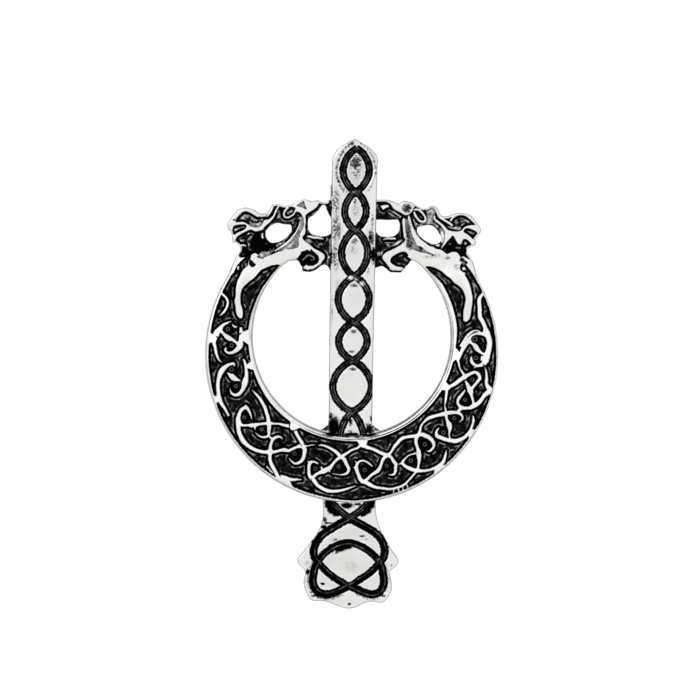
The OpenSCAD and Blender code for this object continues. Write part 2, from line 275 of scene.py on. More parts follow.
def plan(name, planes, lines, widen):
    """A flat mesh of planes and strips, widened all round."""
    loops = [offset(facing(loop), -widen / 2) for loop in planes]
    faces, start = [], 0
    for loop in loops:
        faces.append(range(start, start + len(loop)))
        start += len(loop)
    mesh = bpy.data.meshes.new(name)
    mesh.from_pydata([(x * MM, y * MM, 0) for loop in loops for x, y in loop], [], faces)
    thing = shown(name, mesh)
    if lines:
        drawn_paths = paths(name + " paths", lines)
        wider = (widen - 0.5 * UNEVEN) * MM
        thing.data = grown(thing, strips, Paths=drawn_paths, Widen=wider, Uneven=UNEVEN * MM)
        bpy.data.objects.remove(drawn_paths)
    return thing


print("area of that square: %.0f mm2" % area(square))

# %% [markdown]
# The brooch's face is made of two closed plates, ring and bar. A plate could be cut from a block with
# booleans, but thin black lines beside bright ones need edges in the mesh itself. So the outline and the
# plan's borders go into one triangulation, and a fine honeycomb of places fills what lies between. First
# come the helpers that tell where a place lies.

# %% Places and loops
# Longest edge of a rim, in millimetres.
RIM_STEP = 0.25


def inside(places, loops):
    """Which places lie inside the loops, counting the edges that a line to the right of each one crosses."""
    x, y = np.array(places, dtype=float).reshape(-1, 2).T
    odd = np.zeros(len(x), dtype=bool)
    for loop in loops:
        for (x0, y0), (x1, y1) in zip(loop, loop[1:] + loop[:1]):
            if y0 != y1:
                crossed = (y0 > y) != (y1 > y)
                odd ^= crossed & (x < (x1 - x0) * (y - y0) / (y1 - y0) + x0)
    return odd


def tree_of(places):
    """A search tree of flat places."""
    kd = KDTree(len(places))
    for i, (x, y) in enumerate(places):
        kd.insert((x, y, 0), i)
    kd.balance()
    return kd


def clear_of(kd, gap, places, loops):
    """Which places lie inside the loops, and further than a gap from those of a search tree."""
    return [ok and kd.find((*p, 0))[2] > gap for ok, p in zip(inside(places, loops), places)]


def stepped(loop):
    """The loop with its long edges cut into short ones."""
    parts = []
    for a, b in zip(loop, loop[1:] + loop[:1]):
        count = math.ceil(math.dist(a, b) / RIM_STEP)
        parts += [(lerp(a[0], b[0], i / count), lerp(a[1], b[1], i / count)) for i in range(count)]
    return parts


def loop_edges(loops):
    """The edges round each loop, for loops whose places stand in one list."""
    edges, start = [], 0
    for loop in loops:
        edges += [(start + i, start + (i + 1) % len(loop)) for i in range(len(loop))]
        start += len(loop)
    return edges


print("inside the square, for its middle and for a place beside it:", inside([(5, 5), (15, 5)], [square]))

# %% [markdown]
# A cast plate has no sharp upper edge. A bevel modifier would fail on so fine a face, so rows of places
# follow the rim instead, for the edge to be rounded over them. The plan's borders keep off that strip. The
# honeycomb has every second row shifted, because that gives triangles of nearly equal sides.

# %% Places of a plate
# Distances of the rows from the rim, and the room that a plan's border leaves it.
EDGE_ROWS = (0.05, 0.12, 0.21, 0.32)
BORDER_GAP = 0.36
# Height between two rows of the honeycomb, as a share of the spacing.
COMB_ROW = 0.866


def lay_border(guide, loops, rim_kd, places, edges):
    """Adds a plan's border to the places and edges, but not off the plate or near its rim."""
    uses = {}
    for polygon in guide.polygons:
        for key in polygon.edge_keys:
            uses[key] = uses.get(key, 0) + 1
    drawn_at = [(v.co.x / MM, v.co.y / MM) for v in guide.vertices]
    kept = clear_of(rim_kd, BORDER_GAP, drawn_at, loops)
    lines = [(i, j) for (i, j), count in uses.items() if count == 1 and kept[i] and kept[j]]
    used = {i for line in lines for i in line}
    first = len(places)
    places += [p if i in used else places[0] for i, p in enumerate(drawn_at)]
    edges += [(first + i, first + j) for i, j in lines]


def honeycomb(rim, spacing):
    """Places all over the rim's box, with every second row shifted."""
    low = np.min(rim, axis=0)
    high = np.max(rim, axis=0)
    comb, row = [], 0
    y = low[1]
    while y < high[1]:
        comb += [(x, y) for x in np.arange(low[0] + spacing / 2 * (row % 2), high[0], spacing)]
        y += spacing * COMB_ROW
        row += 1
    return comb


print("places of a honeycomb of 1 mm on it:", len(honeycomb(square, 1)))

# %% [markdown]
# The triangulation keeps every drawn edge, and fills the holes of the outline too. Those triangles are told
# by their middles and dropped. The rest are wound so that they face outwards, and numbers can be written
# for each vertex, which is how one step passes on to the next what it knows of a place.

# %% Triangles and marks
# How close two places may be before they are one.
SAME_PLACE = 1e-5


def mark(thing, name, values):
    """Writes one number for each vertex under a name, for the trees and the finishes to read."""
    thing.data.attributes.new(name, "FLOAT", "POINT").data.foreach_set("value", values)


def triangles(places, edges):
    """Places, faces, and where each place came from, of a triangulation that keeps the edges."""
    points = [Vector(p) for p in places]
    flat, _, faces, source, _, _ = delaunay_2d_cdt(points, edges, [], 0, SAME_PLACE, True)
    return flat, faces, source


def centred(flat, faces, loops):
    """The faces whose middle lies inside the loops."""
    centres = [sum((flat[i] for i in f), Vector((0, 0))) / 3 for f in faces]
    return [f for f, ok in zip(faces, inside(centres, loops)) if ok]


def wound(flat, face, up):
    """A face's corners, anticlockwise from above if it looks up, and clockwise if it looks down."""
    a, b, c = (flat[i] for i in face)
    return tuple(face) if ((b - a).cross(c - a) > 0) == up else tuple(face)[::-1]


print("triangles in the square:", len(triangles(square, loop_edges([square]))[1]))

# %% [markdown]
# Now a plate is put together. The triangles of the face get their height, the walls go down from the rim,
# and a second triangulation closes the flat back. Two marks go with each vertex: whether the press may move
# it, and how far it lies from an edge.

# %% Plates
# Radius of the upper edges, and how far places keep apart, as a share of a row's distance and of the spacing.
EDGE_R = 0.34
ROW_CLEAR = 0.8
COMB_CLEAR = 0.5


def closed_plate(name, loops, rim, rim_kd, flat, faces, from_rim, height, back):
    """The plate's mesh: face with rounded edges, walls and flat back."""
    verts, at_rim, edge = [], {}, []
    for i, (x, y) in enumerate(flat):
        away = 0 if from_rim[i] >= 0 else rim_kd.find((x, y, 0))[2]
        edge.append(away)
        fall = EDGE_R - math.sqrt(max(EDGE_R ** 2 - max(EDGE_R - away, 0) ** 2, 0))
        verts.append((x, y, height(x, y) - fall))
        if from_rim[i] >= 0:
            at_rim[from_rim[i]] = i
    low = len(verts)
    verts += [(x, y, back) for x, y in rim]
    walls = loop_edges(loops)
    turned = [wound(flat, f, True) for f in faces]
    turned += [(at_rim[a], low + a, low + b, at_rim[b]) for a, b in walls]
    floor, floor_faces, source = triangles(rim, walls)
    for f in centred(floor, floor_faces, loops):
        turned.append(tuple(low + source[i][0] for i in wound(floor, f, False)))
    mesh = bpy.data.meshes.new(name)
    mesh.from_pydata([(x * MM, y * MM, z * MM) for x, y, z in verts], [], turned)
    mesh.shade_smooth()
    crisp = [min(line.vertices) >= low for line in mesh.edges]
    mesh.attributes.new("sharp_edge", "BOOLEAN", "EDGE").data.foreach_set("value", crisp)
    thing = shown(name, mesh)
    mark(thing, "pressed", [1.0] * low + [0.0] * len(rim))
    mark(thing, "edge", edge + [1.0] * len(rim))
    return thing


def plate(name, loops, guides, spacing, height, back):
    """A closed plate with rounded upper edges, whose face follows the borders of the plans."""
    loops = [stepped(facing(loop, 1 if i == 0 else -1)) for i, loop in enumerate(loops)]
    rim = [p for loop in loops for p in loop]
    rim_kd = tree_of(rim)
    places, edges = list(rim), loop_edges(loops)
    for away in EDGE_ROWS:
        row = [p for loop in loops for p in offset(loop, away)]
        free = clear_of(rim_kd, ROW_CLEAR * away, row, loops)
        places += [p for p, ok in zip(row, free) if ok]
    for guide in guides:
        lay_border(guide, loops, rim_kd, places, edges)
    comb = honeycomb(rim, spacing)
    free = clear_of(tree_of(places), COMB_CLEAR * spacing, comb, loops)
    places += [p for p, ok in zip(comb, free) if ok]
    flat, faces, source = triangles(places, edges)
    from_rim = [next((s for s in sources if s < len(rim)), -1) for sources in source]
    inner = [f for f in faces if any(from_rim[i] < 0 for i in f)]
    inner += centred(flat, [f for f in faces if all(from_rim[i] >= 0 for i in f)], loops)
    return closed_plate(name, loops, rim, rim_kd, flat, inner, from_rim, height, back)

# %% [markdown]
# The knotwork is a traditional pattern of lines that cross, curl and end in a point. A true interlace
# follows a strict grid, but the master of this ring was cut freely, so no rule gives it. Each line is
# therefore charted as a maker would prick it through from paper: a list of places (degrees round, share
# across, width in mm).

# %% Knotwork at the bottom of the ring
KNOTS = [
    [(-17.2, .742, .6), (-16.2, .768, .6), (-14.9, .807, .5), (-12.4, .842, .5), (-9.6, .865, .54),
     (-6.8, .854, .45), (-4.1, .831, .4), (-1.3, .796, .28), (1.6, .761, .1)],
    [(-17.8, .74, .5), (-19.3, .697, .5), (-20.3, .62, .44), (-20.9, .535, .5), (-20.4, .5, .45),
     (-19.3, .486, .3), (-17, .494, .2)],
    [(-17.6, .73, .5), (-16.8, .68, .45), (-15.4, .628, .4), (-13.5, .587, .72), (-12, .546, .7),
     (-11, .523, .62), (-9.9, .465, .4), (-8.3, .39, .4), (-6.4, .338, .5)],
    [(-5.6, .334, .5), (-4.1, .36, .6), (-2.9, .419, .5), (-1.8, .478, .5), (-1.4, .52, .48),
     (-2.2, .568, .38), (-4.3, .593, .25), (-6, .599, .15), (-9, .595, .1)],
    [(-6, .334, .5), (-8.5, .274, .5), (-11.6, .236, .4), (-15, .212, .35), (-18.2, .212, .3),
     (-19.6, .224, .2)],
    [(-6, .334, .5), (-3.2, .28, .4), (.1, .222, .3), (3.7, .19, .35), (6, .15, .4)],
    [(-1.5, .5, .4), (-.6, .488, .1)], [(-20.6, .51, .4), (-22.2, .515, .15)],
    [(-13.6, .585, .5), (-15.1, .532, .2)], [(-11.4, .53, .5), (-10.6, .575, .2)],
    [(4.6, .69, .6), (6.7, .726, .6), (8.3, .767, .6), (9.7, .802, .45), (13, .848, .38), (16.1, .889, .35),
     (19, .9, .35), (21.9, .894, .35), (24.3, .858, .28), (27.8, .802, .3), (29.2, .778, .5)],
    [(5.2, .71, .6), (4.2, .674, .55), (3.2, .588, .5), (2.4, .5, .58), (2.9, .432, .42), (4.2, .396, .3),
     (5.6, .386, .3), (8.3, .419, .3), (10.4, .488, .22)],
    [(5.6, .7, .5), (7.2, .67, .38), (9.4, .616, .4), (11.1, .593, .45), (12.8, .57, .6), (14.5, .512, .44),
     (16.1, .442, .4), (17.8, .4, .5), (19.2, .384, .6)],
    [(19.6, .384, .6), (21, .43, .42), (21.3, .5, .5), (21.9, .552, .52), (21.1, .6, .5), (20.4, .655, .45),
     (19, .691, .3), (17, .665, .1)],
    [(19.4, .384, .6), (16.7, .326, .5), (13.6, .256, .45), (11.9, .227, .45), (9, .19, .6),
     (6.6, .14, .6)],
    [(19.6, .39, .5), (22.1, .352, .34), (24.4, .303, .4), (27, .268, .5), (29.4, .239, .5),
     (31.4, .233, .45), (34.3, .256, .45), (36.9, .291, .5), (39.2, .325, .6)],
    [(2.3, .49, .4), (1, .482, .12)], [(2.9, .43, .3), (2, .39, .12)], [(21.9, .55, .4), (22.8, .56, .12)],
    [(16.8, .96, .2), (17.4, .9, .2)], [(19.1, .97, .2), (19, .9, .2)], [(20.8, .96, .2), (21, .9, .2)],
    [(22.8, .97, .2), (22.9, .89, .2)],
]
print("knotwork lines at the bottom:", len(KNOTS))

# %% Knotwork up the right side
KNOTS += [
    [(29.2, .778, .6), (28.1, .744, .6), (26.9, .697, .6), (25.8, .651, .5), (25.1, .604, .45),
     (25, .57, .5), (26.1, .546, .35), (27.8, .523, .2), (29.4, .512, .2), (31.4, .523, .2),
     (32.8, .535, .3)],
    [(29.2, .778, .6), (31.7, .836, .4), (34.7, .883, .4), (37, .904, .5), (40, .906, .5), (42.6, .848, .4),
     (44.4, .796, .12)],
    [(30, .76, .4), (31.1, .715, .3), (32.5, .651, .5), (33.6, .586, .78), (34.3, .545, .7),
     (35.2, .47, .42), (35.8, .407, .5), (37.2, .35, .5), (39.1, .32, .6)],
    [(39.5, .32, .55), (40.9, .338, .6), (42, .392, .64), (42.9, .465, .6), (42.9, .53, .55),
     (42.1, .599, .42), (40.4, .628, .35), (38.7, .628, .3), (37.9, .61, .15)],
    [(39.4, .32, .5), (41.8, .28, .4), (44, .232, .25), (47.3, .216, .3), (50, .22, .5), (52.6, .26, .5),
     (55.1, .314, .5), (57.6, .385, .65)],
    [(24.6, .573, .3), (23.2, .573, .12)],
    [(48.9, .732, .6), (49.8, .79, .66), (51.2, .831, .6), (53.6, .876, .5), (56.5, .89, .42),
     (59.7, .868, .35), (61.8, .836, .35), (62.8, .807, .2)],
    [(48.7, .73, .6), (47.9, .674, .55), (46.9, .588, .62), (46.2, .512, .6), (47.1, .477, .4),
     (48.4, .456, .3), (49.8, .452, .15)],
    [(49.4, .7, .25), (50.7, .639, .22), (51.8, .616, .35), (53.2, .581, .7), (54.1, .54, .85),
     (54.9, .49, .48), (56, .44, .38), (57.9, .384, .55)],
    [(57.9, .384, .6), (58.8, .42, .6), (60, .475, .5), (60.8, .53, .46), (60.9, .62, .34),
     (59.6, .674, .25), (57.8, .653, .1)],
    [(58.6, .37, .3), (61.2, .291, .14), (62.9, .268, .3), (64.6, .245, .35), (67.2, .212, .4),
     (69.6, .18, .5)],
    [(60.8, .54, .5), (62.3, .546, .45), (64.2, .562, .6)],
    [(67, .732, .7), (65.7, .697, .52), (64.8, .639, .42), (64.1, .581, .58), (64.3, .515, .48),
     (65.2, .46, .4), (67.6, .442, .4), (69.8, .462, .4), (72.2, .483, .2)],
    [(67, .732, .7), (68.7, .79, .62), (71, .824, .55), (72.9, .848, .6), (74, .883, .7), (75.1, .93, .9)],
    [(75.3, .93, .8), (76.3, .871, .7), (77.4, .825, .48), (79.9, .802, .42), (82.7, .767, .25),
     (84.1, .732, .1)],
    [(67.6, .72, .4), (69.3, .674, .35), (71, .622, .42), (72.8, .575, .9), (74.3, .52, .62),
     (75.6, .474, .46), (76.6, .435, .25)],
    [(78.6, .4, .7), (79.9, .454, .5), (81, .512, .48), (81.6, .575, .45), (80.9, .632, .5),
     (79.3, .676, .5), (77.4, .648, .4), (75.4, .61, .4), (73.6, .585, .5)],
    [(70.9, .19, .5), (72.9, .245, .5), (75.2, .303, .6), (77.2, .352, .6), (78.6, .405, .7)],
    [(79, .39, .5), (80.6, .335, .28), (82.4, .27, .22), (85.2, .222, .3), (87.6, .18, .5)],
    [(85.6, .7, .7), (87.1, .732, .95), (89.1, .75, 1), (92, .79, .78), (95.2, .81, .8), (97.4, .79, .8),
     (98.9, .76, 1.1), (100.8, .755, .6), (104.2, .715, .6), (105.6, .69, .6), (107.7, .703, .6),
     (109.9, .738, .6), (112.4, .776, .6), (113.8, .835, .5), (114.6, .94, .5)],
    [(87, .69, .95), (88.8, .7, .95)],
    [(85.4, .68, .6), (84.7, .61, .42), (84.8, .545, .42), (86, .477, .5), (87.4, .454, .4),
     (88.7, .452, .2)],
    [(89.6, .72, .5), (90.5, .64, .34), (91.8, .57, .62), (92.9, .535, .78), (94.1, .5, .6),
     (95.4, .445, .5), (96.4, .39, .6)],
    [(98, .78, .8), (98.7, .68, .56), (99.2, .59, .38), (99.2, .52, .34), (98.4, .448, .42),
     (97.4, .407, .6), (96.6, .38, .7)],
    [(99.6, .64, .12), (100.5, .575, .25), (100.7, .51, .26), (100.1, .435, .35), (98.6, .345, .38),
     (96.4, .278, .35), (94, .218, .35)],
    [(86.6, .2, .4), (88.4, .216, .45), (90.9, .24, .52), (93.4, .284, .6), (95.2, .334, .62),
     (96.5, .39, .8)],
    [(84.6, .57, .3), (83.4, .535, .12)],
]
print("with the right side:", len(KNOTS))

# %% Knotwork up the left side
KNOTS += [
    [(-39.6, .674, .7), (-38.7, .728, .55), (-37.4, .781, .5), (-35.4, .832, .55), (-33.2, .874, .52),
     (-30.6, .94, .55)],
    [(-30, .9, .5), (-28, .88, .5), (-26, .875, .5), (-23.8, .836, .34), (-21.8, .807, .12)],
    [(-39.9, .68, .7), (-41.4, .728, .5), (-43.4, .775, .48), (-45.9, .819, .5), (-48.4, .845, .55),
     (-51, .855, .72), (-53.4, .84, .62), (-56.3, .8, .6), (-58.6, .735, .85)],
    [(-39.9, .66, .7), (-41.1, .614, .48), (-42.1, .546, .42), (-42.6, .48, .45), (-41.6, .405, .4),
     (-40.3, .384, .28), (-39, .398, .1)],
    [(-39.2, .66, .5), (-38.2, .632, .4), (-36.8, .57, .42), (-34.8, .512, .58), (-33.2, .495, .45),
     (-31.8, .436, .38), (-30.2, .37, .42), (-28.9, .338, .6)],
    [(-28.4, .33, .6), (-26.2, .358, .62), (-25.4, .42, .6), (-24.9, .5, .52), (-25.5, .565, .46),
     (-27.2, .618, .34), (-29.2, .612, .26), (-30.8, .592, .1)],
    [(-28.4, .3, .5), (-30.7, .262, .48), (-33.5, .22, .45), (-36, .18, .5)],
    [(-27.4, .315, .4), (-25.6, .295, .16), (-23.8, .26, .18), (-22.2, .24, .1)],
    [(-37, .889, .18), (-35.3, .906, .18), (-33.5, .923, .18)],
    [(-58.7, .732, .8), (-60, .712, .7), (-61.6, .656, .54), (-62.8, .6, .5), (-63.3, .535, .5),
     (-63, .486, .5), (-61.4, .478, .4), (-59, .49, .3), (-57, .517, .14)],
    [(-58, .73, .6), (-56.8, .705, .38), (-55.6, .635, .28), (-54.4, .582, .66), (-53.4, .515, .5),
     (-52.3, .448, .38), (-51.1, .39, .4), (-50.2, .352, .7)],
    [(-50, .349, .75), (-48.4, .384, .58), (-47.2, .432, .48), (-45.6, .488, .36), (-45.9, .538, .34),
     (-47.4, .588, .3), (-49, .606, .22), (-50.4, .612, .1)],
    [(-45.6, .492, .3), (-43.9, .497, .3), (-42.7, .495, .36)],
    [(-50.2, .345, .7), (-52.4, .298, .52), (-55.4, .258, .5), (-58.1, .227, .5), (-61.2, .212, .45),
     (-64.5, .21, .4), (-67.4, .228, .3), (-69.9, .254, .1)],
    [(-49.6, .33, .5), (-48, .29, .28), (-45.9, .235, .3), (-43.4, .204, .42), (-41.2, .17, .5)],
    [(-53.6, .53, .4), (-52, .585, .16)], [(-63.2, .482, .4), (-64.1, .474, .14)],
    [(-84.9, .5, .5), (-84.7, .558, .5), (-83.9, .61, .66), (-82.9, .665, .78), (-81.4, .72, .7),
     (-79.4, .766, .54), (-76.8, .808, .52), (-73.8, .836, .56), (-71.6, .855, .72), (-69.6, .852, .58),
     (-66.6, .83, .38), (-63.3, .822, .28)],
    [(-85, .5, .5), (-85.4, .45, .38), (-85.6, .425, .25), (-84.6, .43, .3), (-83.5, .442, .22)],
    [(-81.5, .57, .28), (-80.2, .535, .7), (-79.1, .506, .82), (-78, .47, .76), (-77.3, .435, .46),
     (-76.6, .395, .16)],
    [(-87.2, .23, .22), (-85.8, .216, .36), (-83.2, .214, .42), (-80.4, .23, .45), (-78, .256, .52),
     (-76, .296, .8), (-74.2, .336, .88), (-72.6, .38, .6), (-71.2, .438, .5), (-70.4, .5, .5),
     (-70.5, .56, .45), (-71.4, .602, .34), (-72.6, .617, .24), (-74, .61, .1)],
    [(-96.6, .8, .8), (-94.6, .805, .55), (-93, .776, .46), (-91, .762, .42), (-88.8, .732, .34),
     (-87.2, .7, .24), (-86.3, .66, .1)],
    [(-97.6, .78, .9), (-98.8, .767, .9), (-100.2, .722, .85), (-101.6, .686, .6), (-103, .64, .36),
     (-104.2, .565, .28), (-105.1, .5, .08)],
    [(-100.2, .69, .5), (-99, .618, .36), (-98, .558, .64), (-97.3, .495, .74), (-96.7, .42, .5),
     (-95.8, .352, .36), (-94.6, .28, .7)],
    [(-94.4, .268, .85), (-93.2, .294, .78), (-91.8, .352, .66), (-90.9, .41, .48), (-90.4, .475, .36),
     (-90.9, .545, .35), (-91.8, .575, .3), (-92.7, .55, .28)],
    [(-94.6, .262, .8), (-97, .25, .7), (-99.6, .235, .7)], [(-101, .25, .6), (-103.4, .268, .34)],
    [(-103.8, .454, .2), (-103, .407, .3), (-103.4, .36, .2)],
]
print("with the left side:", len(KNOTS))

# %% [markdown]
# Two polished rims run along the band. Here and there a line's metal runs into one of them in a solid bay,
# which in the mould lets the metal flow. In the eye of nearly every knot sits a small cast ring, and bright
# flecks in the recesses are painted glints on the ground. All of them are charted by their place on the band
# too.

# %% Rims, bays and seeds
# Where the polished band of the inner rim ends, and where that of the outer rim starts: degrees, share.
INNER_RIM = [
    (-150, .06), (-135, .045), (-125, .07), (-105, .1), (-80, .095), (-60, .105), (-40, .1), (-20, .092),
    (-8, .088), (8, .095), (35, .092), (50, .096), (65, .108), (80, .11), (94, .12), (105, .155),
    (128, .15), (136, .08), (150, .06),
]
OUTER_RIM = [
    (-131, .93), (-120, .9), (-100, .895), (-90, .91), (-80, .918), (-64, .945), (-12, .964), (0, .985),
    (12, .97), (30, .965), (52, .95), (60, .958), (80, .956), (92, .94), (113, .935), (128, .94),
]
# Bays: middle and half width in degrees, share at the rim, share that it reaches.
BAYS = [
    (-99.2, 4.2, .08, .27), (-83.2, 2.6, .08, .21), (-38.5, 3.6, .08, .2), (7.2, 3.6, .08, .2),
    (70.7, 3, .08, .23), (89.6, 4.6, .08, .21), (-96.4, 2.6, .97, .74), (-71.5, 2, .97, .84),
    (-27.9, 3.9, .97, .87), (37.3, 2.8, .97, .88), (56.5, 2.5, .97, .87), (75.2, 1, .97, .86),
]
# Seeds: degrees, share, outer radius in millimetres.
SEEDS = [
    (-17.5, .581, .34), (-6.6, .477, .3), (6.5, .53, .34), (17.5, .53, .3), (29, .6, .34), (39, .5, .34),
    (49.5, .56, .34), (58, .55, .3), (68, .55, .3), (78, .55, .34), (88.1, .54, .34), (96.8, .512, .42),
    (-39.4, .523, .3), (-29.75, .488, .34), (-59.4, .604, .3), (-49.9, .5, .3), (-82.6, .494, .4),
    (-74.5, .5, .3), (-101.3, .54, .34), (-94, .442, .34),
]
# Glint flecks, painted highlights in the recesses: degrees, share, half length in millimetres.
GLINT_FLECKS = [
    (-21.7, .7, .18), (-23.5, .254, .16), (23.6, .436, .16), (44.9, .33, .14), (46.3, .86, .25),
    (42.3, .96, .18), (51.2, .9, .18), (90.9, .444, .16), (-43.5, .64, .2), (-33.1, .326, .3),
    (-44.6, .43, .18), (-54.6, .37, .18), (-88.8, .123, .2), (-86, .117, .16), (-84.6, .645, .16),
    (-94.8, .575, .16),
]
print("bays: %d, seeds: %d, flecks: %d" % (len(BAYS), len(SEEDS), len(GLINT_FLECKS)))

# %% [markdown]
# From the ends of the knotwork two necks sweep up to the heads: broad polished shapes that taper to a
# tongue between the lines. They belong to the band, so they are drawn in degrees and shares as well.

# %% Necks of the dragons
RIGHT_NECK = [
    (106.5, .314), (105.6, .372), (106.1, .43), (107.7, .488), (110.3, .546), (112.5, .604), (114.8, .662),
    (117.4, .697), (119.9, .732), (122.5, .755), (125.4, .757), (127.7, .732), (129, .79), (129.8, .894),
    (131, .97), (134, .84), (137, .7), (140, .52), (140, .05), (139.6, .094), (138.6, .152), (136.7, .222),
    (134.5, .28), (131.9, .349), (129.6, .396), (127, .407), (124.8, .425), (122.8, .477), (120.6, .517),
    (118, .523), (115.7, .5), (114.1, .454), (112.2, .396), (110.3, .349), (108.3, .328),
]
LEFT_NECK = [
    (-107.7, .291), (-108.1, .372), (-110, .442), (-112.3, .488), (-114.2, .546), (-116.8, .575),
    (-118.4, .616), (-120, .651), (-122.6, .697), (-125, .709), (-128.1, .732), (-130.6, .68),
    (-132.5, .62), (-133.5, .72), (-134.8, .8), (-136.1, .72), (-135.5, .64), (-136.8, .523),
    (-139.4, .488), (-141.9, .396), (-144.8, .338), (-148.4, .28), (-142.9, .019), (-139.7, .152),
    (-137.1, .245), (-134.8, .303), (-132.9, .355), (-130.6, .361), (-127.7, .384), (-125.5, .43),
    (-123.2, .471), (-121, .5), (-118.7, .483), (-116.5, .442), (-114.2, .384), (-112.6, .326),
    (-111.3, .291), (-109, .268),
]
# Ridges beside the left neck: degrees, share, width.
NECK_LINES = [
    [(-114.9, .93, .35), (-114.7, .85, .35), (-113.7, .73, .35), (-112.3, .68, .35), (-110, .674, .35),
     (-107.7, .715, .3), (-106.2, .77, .12)],
    [(-127.6, .88, .3), (-126.6, .84, .2)],
]
print("places on the necks:", len(RIGHT_NECK) + len(LEFT_NECK))

# %% [markdown]
# The two heads face the bar, each with a crest, an eye opening and an open jaw. They are cast flat, and no
# two lines of them are alike, so they are drawn in x and y, in millimetres. Each outline runs from the
# ring's outer edge over the head to the bar, and then back below the jaw.

# %% Outlines of the heads
RIGHT_TOP = [
    (19.3, 13.2), (18.95, 14), (18.65, 14.7), (18.45, 15.4), (18.2, 16.2), (17.9, 17), (17.5, 17.6),
    (17.25, 18), (17.2, 18.5), (17.55, 18.75), (18, 18.95), (18.4, 19.15), (18.55, 19.6), (18.4, 20),
    (18.7, 20.4), (19.1, 20.85), (19.3, 21.35), (19.1, 21.9), (18.7, 22.45), (18.3, 23), (17.7, 23.6),
    (17, 23.85), (16.2, 23.95), (15.5, 23.9), (14.9, 23.7), (14.4, 23.5), (13.9, 23.45), (13.4, 23.55),
    (13.1, 24), (12.8, 24.6), (12.4, 24.95), (11.9, 25.05), (11.5, 24.85), (11.1, 24.65), (10.6, 24.6),
    (10, 24.9), (9.4, 25.25), (9, 25.5), (8.6, 25.6), (8, 25.75), (7.4, 25.6), (7.1, 25.35), (6.6, 25.45),
    (6, 25.75), (5.3, 25.9), (4.2, 25.9), (3.3, 25.8),
]
RIGHT_LOW = [
    (3.1, 15.6), (4.3, 16), (4.7, 15.95), (5.2, 15.6), (5.8, 15.15), (6.5, 15.1), (7.4, 15.1), (7.5, 15.3),
    (7.9, 15.65), (8.1, 15.95), (8.5, 16.35), (8.8, 16.8), (9.4, 16.78),
]
LEFT_TOP = [
    (-2.7, 25.6), (-3.3, 25.9), (-3.5, 25.75), (-3.7, 25.55), (-4, 25.48), (-4.3, 25.52), (-4.6, 25.62),
    (-4.9, 25.8), (-5.3, 25.8), (-5.9, 25.7), (-6.2, 25.75), (-6.5, 25.88), (-7.1, 25.98), (-7.6, 25.85),
    (-8.1, 25.65), (-8.5, 25.4), (-9, 25.15), (-9.5, 25.05), (-10, 25), (-10.4, 25.1), (-10.9, 25.3),
    (-11.4, 25.2), (-11.8, 25.15), (-12, 24.9), (-12.15, 24.6), (-12.3, 24.3), (-12.5, 24), (-12.8, 23.87),
    (-13.3, 23.82), (-13.7, 23.87), (-14, 24.1), (-14.5, 24.4), (-15, 24.6), (-15.6, 24.75), (-16.2, 24.7),
    (-16.8, 24.45), (-17.2, 24.1), (-17.6, 23.7), (-17.9, 23.3), (-18.15, 22.9), (-18.35, 22.55),
    (-18.5, 22.2), (-18.45, 21.7), (-18.2, 21.3), (-18, 21.1), (-17.9, 20.8), (-17.82, 20.3),
    (-17.82, 19.9), (-17.7, 19.6), (-17.3, 19.45), (-17, 19.35), (-16.85, 19.2), (-16.65, 18.95),
    (-16.55, 18.6), (-16.62, 18.25), (-16.75, 18.1), (-17, 17.8), (-17.3, 17.3), (-17.5, 16.85),
    (-17.8, 16.15), (-18.2, 15.3), (-18.5, 14.65),
]
LEFT_LOW = [
    (-9.5, 16.65), (-9, 16.82), (-8.6, 16.92), (-8.1, 16.9), (-7.75, 16.5), (-7.6, 16.15), (-7.38, 15.9),
    (-7.38, 15.55), (-7.2, 15.3), (-6.9, 15.22), (-6.3, 15.18), (-5.8, 15.28), (-5.3, 15.5), (-4.9, 15.8),
    (-4.6, 16.05), (-4.3, 16.18), (-3.9, 16.22), (-3.6, 16.05), (-3.4, 15.75), (-3.2, 15.35), (-2.7, 14.9),
]
print("places on the heads' outlines:", len(RIGHT_TOP + RIGHT_LOW + LEFT_TOP + LEFT_LOW))

# %% Openings of the heads
RIGHT_MOUTH = [
    (3.65, 22.9), (3.55, 22.4), (3.6, 21.3), (3.85, 20.85), (4.2, 20.55), (4.8, 20.4), (5.5, 20.4),
    (6.2, 20.5), (6.7, 20.8), (7.05, 21.2), (7.15, 21.8), (7.15, 22.3), (7, 22.75), (6.8, 22.95),
    (5.5, 22.9), (4.4, 22.95),
]
RIGHT_EYE = [
    (9.75, 21.3), (9.85, 21.8), (10.3, 21.95), (11, 22.1), (11.6, 22.15), (12.1, 22), (12.6, 21.6),
    (13, 21), (13.3, 20.4), (13.4, 19.95), (13.3, 19.75), (13, 19.5), (12.7, 19.35), (12.2, 19.3),
    (11.8, 19.4), (11.2, 19.7), (10.6, 20.1), (10.1, 20.6), (9.85, 21),
]
LEFT_MOUTH = [
    (-4.1, 25.15), (-3.85, 24.95), (-3.75, 24.5), (-3.55, 24.1), (-3.4, 23.7), (-3.2, 23.45), (-3.05, 23.1),
    (-3, 22.6), (-2.97, 21.9), (-2.97, 21.4), (-3.05, 21.1), (-3.2, 20.85), (-3.5, 20.62), (-4, 20.5),
    (-4.5, 20.45), (-4.9, 20.55), (-5.4, 20.65), (-5.9, 20.78), (-6.15, 21), (-6.35, 21.3), (-6.48, 21.8),
    (-6.5, 22.5), (-6.45, 23), (-6.3, 23.25), (-5.9, 23.5), (-5.5, 23.8), (-5.2, 24.1), (-5, 24.3),
    (-4.75, 24.6), (-4.6, 24.85), (-4.4, 25.1),
]
